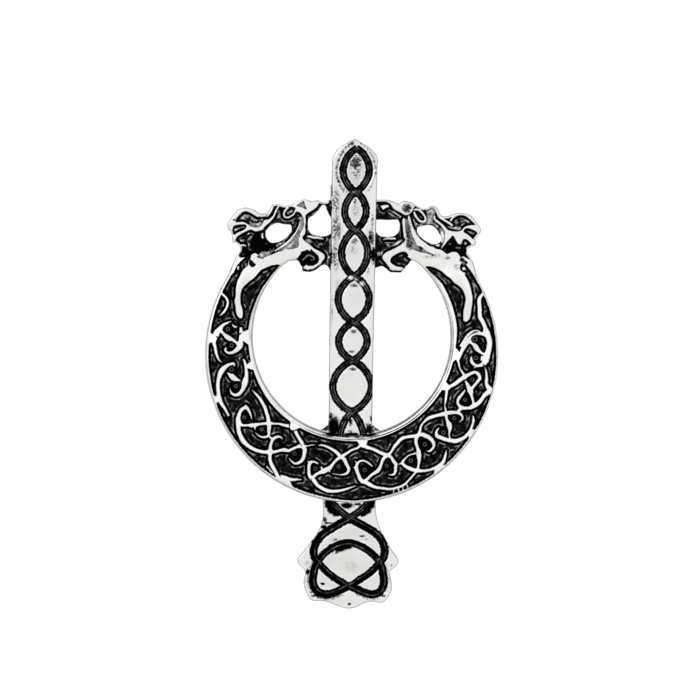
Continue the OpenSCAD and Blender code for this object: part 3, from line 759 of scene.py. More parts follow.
LEFT_EYE = [
    (-12.8, 20.9), (-12.75, 21.3), (-12.5, 21.6), (-12.2, 21.9), (-12, 22.05), (-11.7, 22.25),
    (-11.4, 22.4), (-11, 22.45), (-10.6, 22.4), (-10.2, 22.3), (-9.7, 22.25), (-9.2, 22.2), (-9, 22),
    (-8.95, 21.7), (-8.95, 21.3), (-9.1, 21), (-9.3, 20.7), (-9.6, 20.4), (-10, 20.1), (-10.5, 19.8),
    (-11, 19.6), (-11.6, 19.52), (-12, 19.55), (-12.3, 19.75), (-12.6, 20.1), (-12.8, 20.5),
]
HEAD_HOLES = (RIGHT_MOUTH, RIGHT_EYE, LEFT_MOUTH, LEFT_EYE)
print("openings of the heads:", len(HEAD_HOLES))

# %% [markdown]
# On a head the wheel has caught the jaw with its beard, the snout and the mane, and left the hollows
# between them black. Those polished planes are drawn as outlines, so that their corners stay as sharp as on
# the casting.

# %% Polished planes of the heads
# Jaw with throat and beard, the ridge behind it, snout, mane, and the tip of the crest.
RIGHT_PLANES = [
    [(11, 15.55), (10.5, 16.05), (10, 16.5), (9.4, 16.85), (8.85, 17), (8.5, 17.4), (8.35, 17.75),
     (8.1, 18.05), (7.6, 18.15), (7, 17.95), (6.4, 17.65), (6, 17.35), (5.8, 17.05), (5.75, 16.65),
     (6, 16.35), (6.35, 16.15), (6.7, 15.95), (7.1, 15.9), (7.5, 15.85), (7.75, 15.65), (7.45, 15.42),
     (6, 15.42), (5.6, 15.85), (5.1, 16.45), (4.7, 16.95), (4.52, 17.2), (4.65, 17.55), (4.95, 17.9),
     (5.45, 18.2), (6.3, 18.6), (7.2, 19.1), (7.9, 19.7), (8, 20), (7.75, 20.3), (7.68, 21), (7.6, 22),
     (7.55, 22.9), (7.7, 23.15), (7.92, 23.1), (7.95, 22.3), (8, 21.4), (8.2, 20.7), (8.52, 20.25),
     (8.4, 19.6), (8.15, 19.1), (8.02, 18.8), (8.6, 18.68), (9.3, 18.45), (9.8, 18.2), (10.2, 18.1),
     (10.9, 17.95), (11.6, 17.75), (12.3, 17.3), (13, 16.85), (14, 16.75), (14.9, 16.6), (15.3, 16.9),
     (15, 17.6), (14.6, 18), (15, 18.15), (15.6, 18.1), (15.9, 17.85), (16.1, 17.5), (16, 17.2),
     (16.1, 16.8), (16.4, 16.75), (16.1, 16.2), (16.1, 15.5), (16.5, 15.15), (16.9, 14.85), (14.8, 14.2),
     (13.2, 15.35), (12.2, 15.85), (11.1, 16)],
    [(8.4, 23.35), (8.4, 22.7), (8.55, 22), (8.8, 21.3), (9, 20.6), (9.25, 20), (9.55, 19.5), (9.65, 19.1),
     (10.3, 18.9), (10.9, 18.4), (11.5, 18.05), (12.2, 17.75), (12.8, 17.35), (13.6, 17.05), (14.6, 16.95),
     (15.2, 17), (15.6, 17.6), (15.2, 18.05), (14.6, 17.95), (14.2, 17.8), (13.8, 18.1), (13.4, 18.4),
     (13.1, 18.5), (12.5, 18.6), (12.2, 18.85), (11.6, 19), (11.2, 19.3), (10.6, 19.75), (10.1, 20.25),
     (9.7, 20.8), (9.5, 21.1), (9.25, 21.6), (9, 22.1), (8.85, 22.7), (8.65, 23.35), (8.6, 23.6)],
    [(4.9, 25.75), (5.5, 25.8), (6, 25.65), (6.6, 25.35), (7.1, 25.25), (7.5, 25.45), (8, 25.6),
     (8.8, 25.4), (9.4, 25.1), (9.25, 24.6), (9.05, 24.2), (8.9, 23.95), (8.6, 23.75), (8.35, 23.6),
     (8, 23.55), (7.75, 23.65), (7.3, 23.95), (6.7, 24.25), (6.2, 24.55), (6, 24.9), (5.7, 25.3),
     (5.3, 25.5)],
    [(13.9, 21.3), (14.4, 21.35), (15, 21.2), (15.8, 21.15), (16.4, 21.35), (16.7, 21.75), (17.2, 22),
     (17.8, 22.1), (18.5, 22.1), (18.9, 21.7), (19.15, 21.3), (19, 20.9), (18.75, 20.75), (18.6, 21.1),
     (18, 21.4), (17.5, 21.6), (17.15, 21.65), (16.75, 21.45), (16.6, 21.15), (17.1, 20.8), (17.6, 20.45),
     (18, 20.05), (18.3, 19.9), (18.45, 19.6), (18.3, 19.2), (17.95, 19.1), (17.6, 19.5), (17.3, 19.85),
     (17, 20.05), (16.6, 20), (16.45, 19.7), (16.3, 19.3), (16.05, 19.2), (15.75, 19.4), (15.45, 19.9),
     (15.2, 20.4), (14.95, 20.55), (14.7, 20.15), (14.4, 19.9), (14, 19.35), (13.7, 19), (13.4, 18.6),
     (13.35, 18.75), (13.6, 19.3), (13.8, 19.8), (13.85, 20.3), (13.9, 20.8)],
    [(4.3, 24.9), (4.6, 25.05), (5.3, 25.1), (5.6, 24.9), (5.3, 24.7), (4.95, 24.55), (4.7, 24.35),
     (4.5, 24.6)],
]
# From beard and throat over the jaw to the snout, and the mane with the foot of the crest.
LEFT_PLANES = [
    [(-7.2, 15.85), (-7.75, 16.7), (-8.15, 17.02), (-8.6, 17.05), (-9, 16.98), (-9.5, 16.8), (-10, 16.55),
     (-10.2, 16.42), (-10.7, 16.35), (-11.3, 16.2), (-11.9, 16.1), (-12.4, 15.9), (-12.8, 15.75),
     (-13.2, 15.55), (-13.6, 15.3), (-13.9, 15), (-14.2, 14.7), (-15.8, 15.1), (-15.7, 15.5), (-15.5, 15.8),
     (-15.4, 16.2), (-15.38, 16.5), (-15.25, 16.85), (-15.05, 17.1), (-14.95, 17.6), (-14.75, 17.8),
     (-14.3, 17.95), (-14, 17.8), (-13.85, 17.6), (-14.1, 17.35), (-13.9, 17.25), (-13.5, 17.15),
     (-13.1, 17.1), (-13, 17.3), (-12.5, 17.5), (-12, 17.65), (-11.5, 17.9), (-11, 18.1), (-10.5, 18.2),
     (-10, 18.42), (-9.5, 18.5), (-8.8, 18.55), (-8.3, 18.7), (-7.95, 18.75), (-7.85, 19.1), (-7.82, 19.5),
     (-7.92, 20), (-7.9, 20.2), (-7.65, 20.4), (-7.7, 20.85), (-7.55, 20.95), (-7.35, 21.2), (-7.2, 21.6),
     (-7.1, 22.1), (-7.08, 22.5), (-7.12, 23), (-7.3, 23.4), (-7.5, 23.8), (-7.9, 24.05), (-8.2, 24.1),
     (-8.35, 24.3), (-8.35, 24.65), (-8.9, 24.8), (-9.3, 24.9), (-8.6, 25.2), (-8.1, 25.5), (-7.5, 25.75),
     (-7.1, 25.88), (-6.5, 25.8), (-6, 25.6), (-5.4, 25.7), (-4.95, 25.65), (-4.85, 25.45), (-4.95, 25.2),
     (-5, 25), (-5.3, 24.7), (-5.8, 24.3), (-6.3, 24), (-6.7, 23.7), (-6.85, 23.5), (-6.85, 23.2),
     (-6.8, 22.9), (-6.85, 22.4), (-6.9, 21.8), (-6.85, 21.3), (-6.9, 20.9), (-7.1, 20.6), (-7.3, 20.3),
     (-7.3, 20.1), (-7.1, 19.9), (-6.8, 19.6), (-6.4, 19.35), (-6, 19), (-5.5, 18.6), (-4.9, 18.3),
     (-4.4, 18), (-4.05, 17.7), (-3.95, 17.4), (-4.05, 17.1), (-4.3, 16.8), (-4.5, 16.45), (-4.9, 16.1),
     (-5.3, 15.85), (-5.8, 15.6), (-6.3, 15.5), (-6.9, 15.58)],
    [(-13, 22.8), (-12.6, 22.95), (-12.3, 22.9), (-12.4, 22.6), (-12.7, 22.2), (-12.95, 21.9),
     (-13.1, 21.6), (-13.2, 21.4), (-13.6, 21.3), (-14, 21.15), (-14.5, 21.2), (-14.8, 21.4), (-15.1, 21.4),
     (-15.4, 21.3), (-15.9, 21.05), (-16.5, 20.75), (-17, 20.4), (-17.2, 20.05), (-17.25, 19.75),
     (-17.7, 19.7), (-17.75, 20.2), (-17.65, 20.55), (-17.35, 20.7), (-17, 20.95), (-16.6, 21.15),
     (-16.2, 21.3), (-15.85, 21.5), (-15.65, 21.75), (-15.62, 22.05), (-15.85, 22.2), (-16.4, 22.2),
     (-16.9, 22.15), (-17.3, 22.1), (-17.58, 21.9), (-17.68, 21.6), (-17.75, 21.35), (-18.1, 21.5),
     (-18.2, 21.9), (-18.15, 22.2), (-17.95, 22.5), (-17.6, 22.75), (-17.25, 22.8), (-17.2, 22.5),
     (-16.7, 22.55), (-16.2, 22.6), (-15.85, 22.5), (-15.55, 22.3), (-15.3, 22.1), (-15, 21.9),
     (-14.6, 21.78), (-14.2, 21.75), (-13.75, 21.78), (-13.4, 21.95), (-13.25, 22.3)],
]
print("polished planes on the heads:", len(RIGHT_PLANES + LEFT_PLANES))

# %% [markdown]
# Curls, crests and whiskers are thin raised lines, so they are charted as strips: places with a width. The
# upper edges of the heads catch the light all along, and a run of an outline's own places serves for those.

# %% Ridges of the heads
RIDGES = [
    [(9.3, 24.35, .25), (9.7, 24.45, .3), (10.2, 24.2, .3), (10.65, 23.75, .3), (10.95, 23.2, .3),
     (10.95, 22.75, .3), (10.5, 22.6, .3), (10.1, 22.75, .3), (9.75, 23.15, .3), (9.45, 23.6, .3),
     (9.3, 24, .25)],
    [(12.4, 24.6, .25), (12.65, 24.2, .3), (12.85, 23.7, .3), (13.05, 23.3, .3), (13.5, 23, .3),
     (14.1, 22.65, .35), (14.6, 22.35, .35), (15, 22.05, .25)],
    [(12.3, 23.45, .2), (12.35, 23, .3), (12.8, 22.6, .35), (13.3, 22.2, .35), (13.75, 21.7, .4),
     (14.1, 21.2, .5)],
    [(14.7, 22.75, .3), (15, 23.15, .25), (15.5, 23.5, .25), (16.2, 23.7, .25), (17, 23.55, .3),
     (17.6, 23.15, .35), (18.1, 22.7, .35), (18.5, 22.3, .3)],
    [(4.75, 19.95, .15), (5.3, 20.1, .25), (6, 20.12, .35), (6.5, 20.1, .3)],
    [(18.9, 13.9, .3), (18.5, 14.9, .35), (18.1, 15.8, .4), (17.55, 16.6, .5), (16.9, 17.1, .45),
     (16.5, 17.35, .3)],
    [(-9.4, 24.75, .3), (-9.8, 24.4, .28), (-10.05, 23.9, .26), (-10, 23.4, .26), (-9.6, 23.22, .26),
     (-9.15, 23.35, .26), (-8.75, 23.6, .24), (-8.45, 23.95, .22), (-8.35, 24.3, .2)],
    [(-7.72, 22.6, .08), (-7.75, 22.2, .2), (-8, 21.6, .2), (-8.3, 21, .22), (-8.7, 20.45, .26),
     (-9.05, 20, .28), (-9.45, 19.6, .3), (-9.9, 19.2, .3), (-10.4, 18.9, .25), (-10.9, 18.6, .22),
     (-11.35, 18.25, .18)],
    [(-10.85, 24.95, .25), (-11.1, 24.5, .25), (-11.35, 24, .28), (-11.6, 23.4, .3), (-12, 22.95, .35),
     (-12.4, 22.6, .45), (-12.8, 22.3, .5), (-13.2, 21.9, .5), (-13.7, 21.55, .5), (-14.3, 21.45, .45)],
    [(-11.65, 24.9, .25), (-11.85, 24.5, .28), (-12.1, 24, .25), (-12.4, 23.6, .22), (-12.6, 23.35, .12)],
    [(-17.35, 23, .3), (-17.1, 23.4, .4), (-16.8, 23.75, .4), (-16.5, 24.02, .3), (-15.9, 24.25, .22),
     (-15.3, 24.2, .28), (-14.8, 23.98, .35), (-14.3, 23.7, .38), (-13.9, 23.45, .35)],
    [(-18.05, 14.9, .3), (-17.7, 15.1, .35), (-17.5, 15.6, .4), (-17.25, 16.1, .42), (-16.95, 16.55, .42),
     (-16.65, 16.9, .42), (-16.3, 17.1, .35), (-15.95, 17.25, .2)],
    [(-17.05, 17.3, .25), (-16.85, 17.75, .3), (-16.7, 18.1, .25)],
    [(-16.35, 19.15, .2), (-16.05, 19.15, .28), (-15.75, 19, .22)],
    [(-6.55, 20.4, .25), (-6.2, 20.4, .3), (-5.7, 20.27, .35), (-5.2, 20.25, .35), (-4.8, 20.2, .35),
     (-4.2, 20.05, .2)],
    [(-13.2, 20.9, .25), (-13.32, 20.5, .3), (-13.22, 20.15, .22)],
]
# Lit edges: first and last place of an outline, and the strip's width there.
RIGHT_EDGES = [(0, 8, .5), (7, 18, .5), (17, 31, .75), (30, 45, .5), (44, 52, .6)]
LEFT_EDGES = [(2, 12, .5), (11, 28, .55), (27, 43, 1), (42, 50, .6), (49, 61, .5)]
print("ridges: %d, lit edges: %d" % (len(RIDGES), len(RIGHT_EDGES + LEFT_EDGES)))

# %% [markdown]
# Between polished and black lies what the wheel has only brushed. It shows as broad grey patches behind the
# jaws, and as thin glints on the folds of the webs, which are painted highlights as much as wear. A noise
# could scatter such wear, but here the glints tell the eye where the forms stand proud, so they are drawn.
# The reverse, a black spot within a polished plane, is drawn too.

# %% Wear and painted glints on the heads
WORN_AND_GLINT_LINES = [
    [(6.2, 24.2, .15), (7.3, 23.3, .15)], [(5.4, 24, .15), (6.9, 23, .15)],
    [(7.5, 19.9, .25), (7.1, 19.6, .25), (6.8, 19.3, .25), (6.2, 19.1, .2)],
    [(5.6, 19.05, .2), (5.25, 19.2, .2)], [(4, 17.6, .3), (4, 18.1, .3)],
    [(3.3, 19.1, .25), (3.3, 19.5, .25)], [(4.45, 17.55, .2), (4.55, 18.1, .2)],
    [(9.2, 22.8, .2), (9.3, 23, .2)], [(9.6, 22.2, .2), (9.65, 22.45, .2)],
    [(15.55, 22.45, .2), (15.8, 22.55, .2)], [(16.25, 22.6, .22), (16.9, 22.75, .22), (17.5, 22.6, .22)],
    [(17.7, 21, .25), (18.3, 20.9, .25)], [(11.35, 23.3, .2), (11.65, 23.3, .2)],
    [(14.5, 19.3, .18), (14.75, 19.3, .18)], [(15.5, 18.7, .25), (16.2, 18.7, .25)],
    [(16.5, 15.5, .3), (16.9, 15.7, .3)], [(9.62, 23.55, .25), (9.82, 23.55, .25)],
    [(-9.25, 24, .22), (-8.95, 24.1, .3), (-8.7, 24.2, .25)],
    [(-7.3, 16.9, .25), (-7, 17.2, .18), (-6.7, 17.5, .18), (-6.4, 17.65, .2), (-6, 17.55, .2),
     (-5.65, 17.3, .2), (-5.55, 17.1, .25), (-5.8, 16.95, .18), (-6.1, 16.95, .15)],
    [(-17.5, 21.35, .22), (-17.1, 21.5, .15), (-16.7, 21.65, .15), (-16.3, 21.8, .15),
     (-15.95, 21.85, .15)],
    [(-16.5, 23.1, .2), (-16.1, 23.2, .25), (-15.9, 23.35, .25), (-15.6, 23.42, .2), (-15.42, 23.2, .2)],
    [(-14.95, 23.15, .2), (-14.8, 23, .25), (-14.5, 22.85, .25), (-14.1, 22.8, .15)],
    [(-15.2, 22.5, .3), (-14.95, 22.5, .3)], [(-13.5, 22.9, .25), (-13.15, 22.9, .35)],
    [(-15.4, 19.1, .25), (-15.2, 19.1, .25)], [(-16.5, 19.8, .25), (-16, 19.85, .25)],
    [(-15.5, 19.8, .12), (-15.05, 20.25, .25), (-14.8, 20.5, .12)],
    [(-15.55, 20.7, .2), (-15.25, 20.9, .2)], [(-14.75, 20.8, .2), (-14.65, 20.9, .2)],
    [(-15.25, 18.45, .18), (-14.95, 18.45, .18)], [(-12.75, 19.35, .22), (-12.65, 19.35, .22)],
    [(-15.75, 16.4, .25), (-15.65, 15.9, .25)], [(-16.9, 15.85, .2), (-16.7, 15.7, .2)],
    [(-11, 24.05, .2), (-10.7, 24.2, .22)], [(-11.1, 23.3, .2), (-10.7, 23.3, .2)],
    [(-8.65, 22.75, .2), (-8.75, 22.3, .18)],
    [(-4.9, 19, .12), (-4.8, 19.3, .15), (-4.6, 19.35, .15), (-4.4, 19.2, .12)],
    [(-3.2, 20, .2), (-3.2, 18, .2)], [(-4, 18.35, .1), (-3.8, 18.1, .22), (-3.6, 17.8, .22)],
    [(-3.4, 17.35, .3), (-3.3, 17.3, .3)], [(-3.6, 16.9, .2), (-3.6, 16.3, .2)],
    [(-12.15, 18.5, .2), (-12.05, 18.5, .2)], [(-11.65, 18.6, .2), (-11.55, 18.55, .2)],
    [(-12.45, 18.2, .25), (-12.2, 18.05, .2), (-11.8, 18.25, .25), (-11.4, 18.4, .2)],
    [(-11.2, 19.05, .2), (-10.9, 19, .25)], [(-10.7, 19.2, .3), (-10.2, 19.35, .3), (-9.8, 19.55, .3)],
    [(-9.6, 24, .3), (-9.3, 23.8, .3)],
    [(10.2, 22.2, .25), (11.2, 22.45, .25), (12.2, 22.35, .3), (12.9, 21.9, .3)],
    [(10.4, 18.4, .35), (11.2, 18.1, .35), (12, 17.8, .3), (12.6, 17.5, .25)],
    [(16.2, 16.6, .4), (16.7, 16.5, .4), (16.9, 16.3, .3)],
]
WORN_PLANES = [
    [(8.05, 22.95), (8.3, 23), (8.45, 22.4), (8.6, 21.7), (8.8, 21.1), (8.95, 20.5), (9.15, 20),
     (9.45, 19.5), (9.55, 19.1), (10, 18.95), (10.25, 18.5), (10.1, 18.1), (9.6, 18.35), (8.8, 18.65),
     (8.05, 18.75), (8.2, 19.15), (8.42, 19.6), (8.55, 20.1), (8.45, 20.5), (8.2, 21), (8.05, 21.7)],
    [(14.2, 22), (14.5, 21.7), (15.2, 21.5), (15.8, 21.35), (16.3, 21.5), (16.2, 21.8), (15.1, 21.8)],
    [(-7.35, 23.6), (-7.15, 22.9), (-7.15, 22.1), (-7.3, 21.5), (-7.6, 21), (-7.75, 20.5), (-8, 20.2),
     (-7.9, 19.5), (-7.9, 18.85), (-8.8, 18.6), (-9.8, 18.45), (-10.8, 18.2), (-10.9, 18.5), (-10, 19),
     (-9.3, 19.4), (-8.9, 19.9), (-8.4, 20.6), (-8.1, 21.2), (-7.85, 21.9), (-7.75, 22.6), (-7.6, 23.2)],
    [(-13.8, 17.75), (-13.3, 18.15), (-12.9, 18.25), (-12.5, 18), (-11.9, 17.85), (-12.1, 17.7),
     (-12.9, 17.45), (-13.1, 17.2), (-13.6, 17.3)],
    [(-15.3, 22.1), (-14.9, 22.3), (-14.5, 22.45), (-14, 22.3), (-13.5, 22.6), (-13.3, 22.3),
     (-13.45, 21.9), (-14, 21.75), (-14.6, 21.78)],
    [(-6.9, 19.9), (-6.5, 20.1), (-6.1, 20), (-6.1, 19.4), (-6.4, 19.45)],
    [(11.2, 24.5), (12.2, 24.8), (12.5, 24.2), (12.2, 23.2), (12, 22.6), (11.3, 22.5), (11.2, 23.4)],
    [(13, 21.6), (13.5, 21.6), (13.9, 20.8), (13.8, 19.9), (13.5, 19.4), (13.4, 20), (13.3, 20.6)],
]
SUNK_PLANES = [
    [(-8.3, 16.95), (-7.9, 17.2), (-7.6, 17.6), (-7.4, 17.95), (-7.1, 18.2), (-6.6, 18.25), (-6.1, 18.2),
     (-6, 18.4), (-5.9, 18.2), (-5.6, 17.95), (-5.2, 17.65), (-4.95, 17.3), (-4.9, 17), (-5, 16.7),
     (-5.3, 16.35), (-5.7, 16.15), (-6.2, 16.1), (-6.5, 16.1), (-6.55, 16.25), (-6.9, 16.2), (-7.2, 15.95),
     (-7.6, 15.85), (-8.3, 16.6)],
    [(-15.1, 16.85), (-14.9, 16.8), (-14.6, 16.5), (-14.35, 16.3), (-14.45, 16.05), (-14.8, 16),
     (-15.1, 16.2), (-15.2, 16.4)],
    [(-8.05, 25.05), (-7.15, 25.55), (-7.05, 25.3), (-6.95, 24.9), (-6.78, 24.5), (-7.3, 24.8)],
    [(16.15, 16.8), (16.3, 17.2), (16.65, 17.1), (16.5, 16.8)],
    [(-14.3, 20.2), (-13.9, 20.6), (-13.7, 20.4), (-13.6, 19.9), (-13.2, 19.7), (-12.7, 19.8),
     (-12.2, 19.4), (-11.5, 19.1), (-11.4, 18.8), (-12.3, 18.6), (-13.4, 18.3), (-14.6, 18), (-15.3, 17.7),
     (-15.6, 18), (-14.9, 18.3), (-14.5, 19)],
    [(14.3, 18.7), (14.9, 19.4), (15.25, 19.9), (15.6, 19.3), (15.9, 18.9), (16.3, 18.9), (16.9, 18.7),
     (17.1, 18.2), (16.8, 17.9), (15.9, 18.1), (15, 18.3)],
]
print("worn lines, worn planes, black spots:", [len(c) for c in (WORN_AND_GLINT_LINES, WORN_PLANES, SUNK_PLANES)])

# %% [markdown]
# Now the charts become plans of the ring: what is polished, the foot of its slopes, what is worn, and what
# is sunk. Each of them is a flat mesh, so the next steps can measure how far any place lies from it.

# %% Plans of the ring
# Width of a sloping side, how much the wheel has narrowed the lines, the steps along a drawn plane's outline,
# and the radius of a knot's black eye, all in millimetres.
SLOPE = 0.12
TRIM = -0.1
PLANE_STEP = 0.3
EYE_R = 0.5
RIM_STEPS = 150
# The share past each edge of the band at which a rim's plane ends, so that it covers the edge.
PAST_EDGE = 0.05
# Widths of a painted glint at its two ends, and how much higher its right end lies.
FLECK_WIDTHS = (0.16, 0.14)
FLECK_TILT = 0.05


def rim_band(table, edge):
    """A polished rim between an edge of the band and the drawn shares."""
    angles = [lerp(table[0][0], table[-1][0], i / RIM_STEPS) for i in range(RIM_STEPS + 1)]
    shares = np.interp(angles, [a for a, _ in table], [v for _, v in table])
    return [on_band(a, v) for a, v in zip(angles, shares)] + [on_band(a, edge) for a in angles[::-1]]


def bay(middle, half, start, reach):
    """A solid bay from a rim to the knotwork, round at its end."""
    return [on_band(middle + half * t, start + (reach - start) * (1 - t * t)) for t in np.linspace(-1, 1, 9)]


def spread(line):
    """A band line in millimetres."""
    return [(*on_band(a, v), w) for a, v, w in line]


def glint_fleck(angle, share, half):
    """A short painted glint, a bright line in a recess."""
    x, y = on_band(angle, share)
    return [(x - half, y, FLECK_WIDTHS[0]), (x + half, y + FLECK_TILT, FLECK_WIDTHS[1])]


ring_planes = [rim_band(INNER_RIM, -PAST_EDGE), rim_band(OUTER_RIM, 1 + PAST_EDGE)]
ring_planes += [bay(*chart) for chart in BAYS]
ring_planes += [rounded([on_band(a, v) for a, v in neck], PLANE_STEP) for neck in (RIGHT_NECK, LEFT_NECK)]
ring_planes += [rounded(p, PLANE_STEP) for p in RIGHT_PLANES + LEFT_PLANES]
ring_lines = [spread(line) for line in KNOTS + NECK_LINES] + RIDGES
for top, edges in ((RIGHT_TOP, RIGHT_EDGES), (LEFT_TOP, LEFT_EDGES)):
    ring_lines += [[(x, y, width) for x, y in top[start:stop]] for start, stop, width in edges]
knot_eyes = [on_band(angle, share) for angle, share, _ in SEEDS]
clock = np.linspace(0, 2 * math.pi, 12, endpoint=False)
eye_discs = [[(x + EYE_R * math.cos(t), y + EYE_R * math.sin(t)) for t in clock] for x, y in knot_eyes]

polished = plan("polished", ring_planes, ring_lines, TRIM)
slope_foot = plan("foot", ring_planes, ring_lines, TRIM + 2 * SLOPE)
# Painted glints in the recesses: short strips that join the plan of worn places.
glint_flecks = [glint_fleck(*chart) for chart in GLINT_FLECKS]
worn = plan("worn", [rounded(p, PLANE_STEP) for p in WORN_PLANES], WORN_AND_GLINT_LINES + glint_flecks, 0)
sunk = plan("sunk", [rounded(p, PLANE_STEP) for p in SUNK_PLANES] + eye_discs, [], 0)
print("faces in the plans: %d polished, %d worn" % (len(polished.data.polygons), len(worn.data.polygons)))

# %% [markdown]
# Ring, necks and heads are one casting, so they are one plate. Its outline goes round the ring, over the
# right head and back below it, along the opening, and round the left head in the same way.

# %% Plate of the ring and the dragons
# The ring's lower half hangs a little fuller than a circle.
SAG = 0.25
# Angles at which the heads begin, on the ring's outer edge and on the opening.
OUTER_ENDS = (-121, 116.5)
OPENING_ENDS = (143.5, -143)
# Degrees between two places on these edges, and the spacing of the ring's honeycomb in millimetres.
TURN_STEP = 0.5
RING_SPACING = 0.125
# The ring's back lies a hair above the bar's, so that the two never share a plane.
RING_LIFT = 0.04


def angles_between(start, stop):
    """Angles at even steps from one to another."""
    count = round(abs(stop - start) / TURN_STEP)
    return [lerp(start, stop, i / count) for i in range(count + 1)]


def outer_edge(angle):
    """A place on the ring's outer edge."""
    turn = math.radians(angle)
    reach = RING_R + (SAG if math.cos(turn) > 0 else 0)
    return (RING_R * math.sin(turn), RING_Y - reach * math.cos(turn))


ring_outline = [outer_edge(a) for a in angles_between(*OUTER_ENDS)]
ring_outline += rounded(RIGHT_TOP, closed=False) + rounded(RIGHT_LOW, closed=False)
ring_outline += [on_band(a, 0) for a in angles_between(*OPENING_ENDS)]
ring_outline += rounded(LEFT_LOW, closed=False) + rounded(LEFT_TOP, closed=False)
ring = plate("ring_and_dragons", [ring_outline] + [rounded(hole) for hole in HEAD_HOLES],
             [polished.data, slope_foot.data, sunk.data], RING_SPACING,
             lambda x, y: BACK + face_height(x, y), BACK + RING_LIFT)
print("ring plate: %d faces" % len(ring.data.polygons))

# %% [markdown]
# The press is one tree for both plates. Everything that isn't polished is pushed down: deepest next to a
# polished edge, and swelling up again further away, as cast ground does between two lines. A noise that
# stretches the distance keeps the edges ragged. The same distances say how black each place is, which the
# finish reads later, and that is why a tree does this and not a sculpting brush.

# %% Press: distances from the plans
# Grain of the ragged edges in millimetres. A soft step of a noise shortens or lengthens a distance: the two
# noise values between which it runs, and the two factors there.
RAGGED_GRAIN = 0.35
RAGGED = (0.3, 0.7, 0.45, 1.9)

press = new_tree("press the plan", Geometry="Geometry", Polished="Object", Worn="Object", Sunk="Object",
                 Recess="Float", Slope="Float", Pillow="Float", Brush="Float", Broken="Float",
                 Silver="Material", Skin="Material")
feed = add(press, "NodeGroupInput").outputs
spot = add(press, "ShaderNodeVectorMath", (add(press, "GeometryNodeInputPosition"), (1, 1, 0)), **TIMES)
away = {}
for name in ("Polished", "Worn", "Sunk"):
    target = add(press, "GeometryNodeObjectInfo", {"Object": feed[name]}).outputs["Geometry"]
    away[name] = add(press, "GeometryNodeProximity", {"Geometry": target, "Sample Position": spot},
                     target_element="FACES").outputs["Distance"]
ragged = add(press, NOISE, {"Vector": spot, "Scale": 1 / (RAGGED_GRAIN * MM), "Detail": 2.0})
ragged = add(press, RANGE, (ragged, *RAGGED), **SOFT)
from_polished = add(press, MATH, (away["Polished"], ragged), **TIMES)
from_sunk = add(press, MATH, (away["Sunk"], ragged), **TIMES)
below = add(press, MATH, (add(press, RANGE, (from_polished, 0.0, feed["Slope"]), **SOFT),
                          add(press, RANGE, (from_sunk, 0.0, feed["Slope"], 1.0, 0.0), **SOFT)), **LARGER)
print("press: distances from", ", ".join(away))

# %% [markdown]
# Next come the forms of the ground. It swells like a pillow away from the lines, but not in the eyes of the
# knots. Worn places stand up again for about half the depth, and a cast grain lies over it all. Then each
# vertex is moved down by what that comes to.

# %% Press: relief of the ground
# Where the pillow begins and is full, its distance from an eye, and the soft edge of a worn place, in mm.
SWELL = (0.26 * MM, 0.52 * MM)
EYE_CLEAR = (0.25 * MM, 0.6 * MM)
WORN_EDGE = 0.1 * MM
# Share of the depth by which a worn place stands up, and the grain of the patches that the wheel has missed,
# with the noise values between which they fade.
WORN_HEIGHT = 0.55
PATCH_GRAIN = 0.9
PATCHES = (0.38, 0.6)
# Grain and height of the cast surface.
CAST_GRAIN = 0.7
CAST_HEIGHT = 0.14

clear = add(press, RANGE, (away["Sunk"], *EYE_CLEAR), **SOFT)
swell = add(press, MATH, (clear, add(press, RANGE, (away["Polished"], *SWELL), **SOFT)), **TIMES)
patchy = add(press, NOISE, {"Vector": spot, "Scale": 1 / (PATCH_GRAIN * MM), "Detail": 3.0})
# Worn places stand up and grey the black, partly as wear and partly as a painted glint.
brushed_and_glint = add(press, MATH, (add(press, RANGE, (away["Worn"], 0.0, WORN_EDGE, 1.0, 0.0), **SOFT),
                            add(press, RANGE, (patchy, *PATCHES, feed["Broken"], 1.0), **SOFT)), **TIMES)
grain = add(press, NOISE, {"Vector": spot, "Scale": 1 / (CAST_GRAIN * MM), "Detail": 2.0})
pillow = add(press, MATH, (swell, feed["Pillow"]), **TIMES)
step = add(press, MATH, (brushed_and_glint, add(press, MATH, (feed["Recess"], WORN_HEIGHT), **TIMES)), **TIMES)
rough_cast = add(press, MATH, (add(press, MATH, (grain, 0.5), **MINUS), CAST_HEIGHT * MM), **TIMES)
lift = add(press, MATH, (add(press, MATH, (pillow, step), **LARGER), rough_cast), **PLUS)
held = add(press, "GeometryNodeInputNamedAttribute", {"Name": "pressed"}, **NUMBER)
fall = add(press, MATH, (below, add(press, MATH, (lift, feed["Recess"]), **MINUS)), **TIMES)
fall = add(press, "ShaderNodeCombineXYZ", {"Z": add(press, MATH, (fall, held), **TIMES)})
moved = add(press, "GeometryNodeSetPosition", {"Geometry": feed["Geometry"], "Offset": fall})
print("press: %d nodes for the relief" % len(press.nodes))

# %% [markdown]
# The bath blackens all that lies below the wheel. What has been brushed is greyer, partly as wear and partly
# as a painted glint. The top of the pillow gets a painted sheen, and a broken crease at an even distance from
# the lines gets a painted highlight, where the real ring catches the light. The tree writes this as one
# number for each vertex, from 0 for bright to 1 for black, beside the marked stains and painted shade. Last,
# the face gets its finish, and walls and back get theirs.

# %% Press: how black the bath has left it, and the painted highlights on it
# The crease, a painted highlight: its grain, how far it wanders, its rising and falling side, how much it
# greys the black, and the noise values between which it breaks off.
CREASE_GRAIN = 1.1
CREASE_WANDER = 0.5
CREASE_RISE = (0.34 * MM, 0.46 * MM)
CREASE_FALL = (0.5 * MM, 0.66 * MM)
CREASE_HIGHLIGHT = 0.6
CREASE_PATCHES = (0.4, 0.57)
# How grey the pillow's painted sheen makes its top, from one patch of the cast grain to the next.
PILLOW_SHEEN = (0.4, 0.62, 0.04, 0.18)
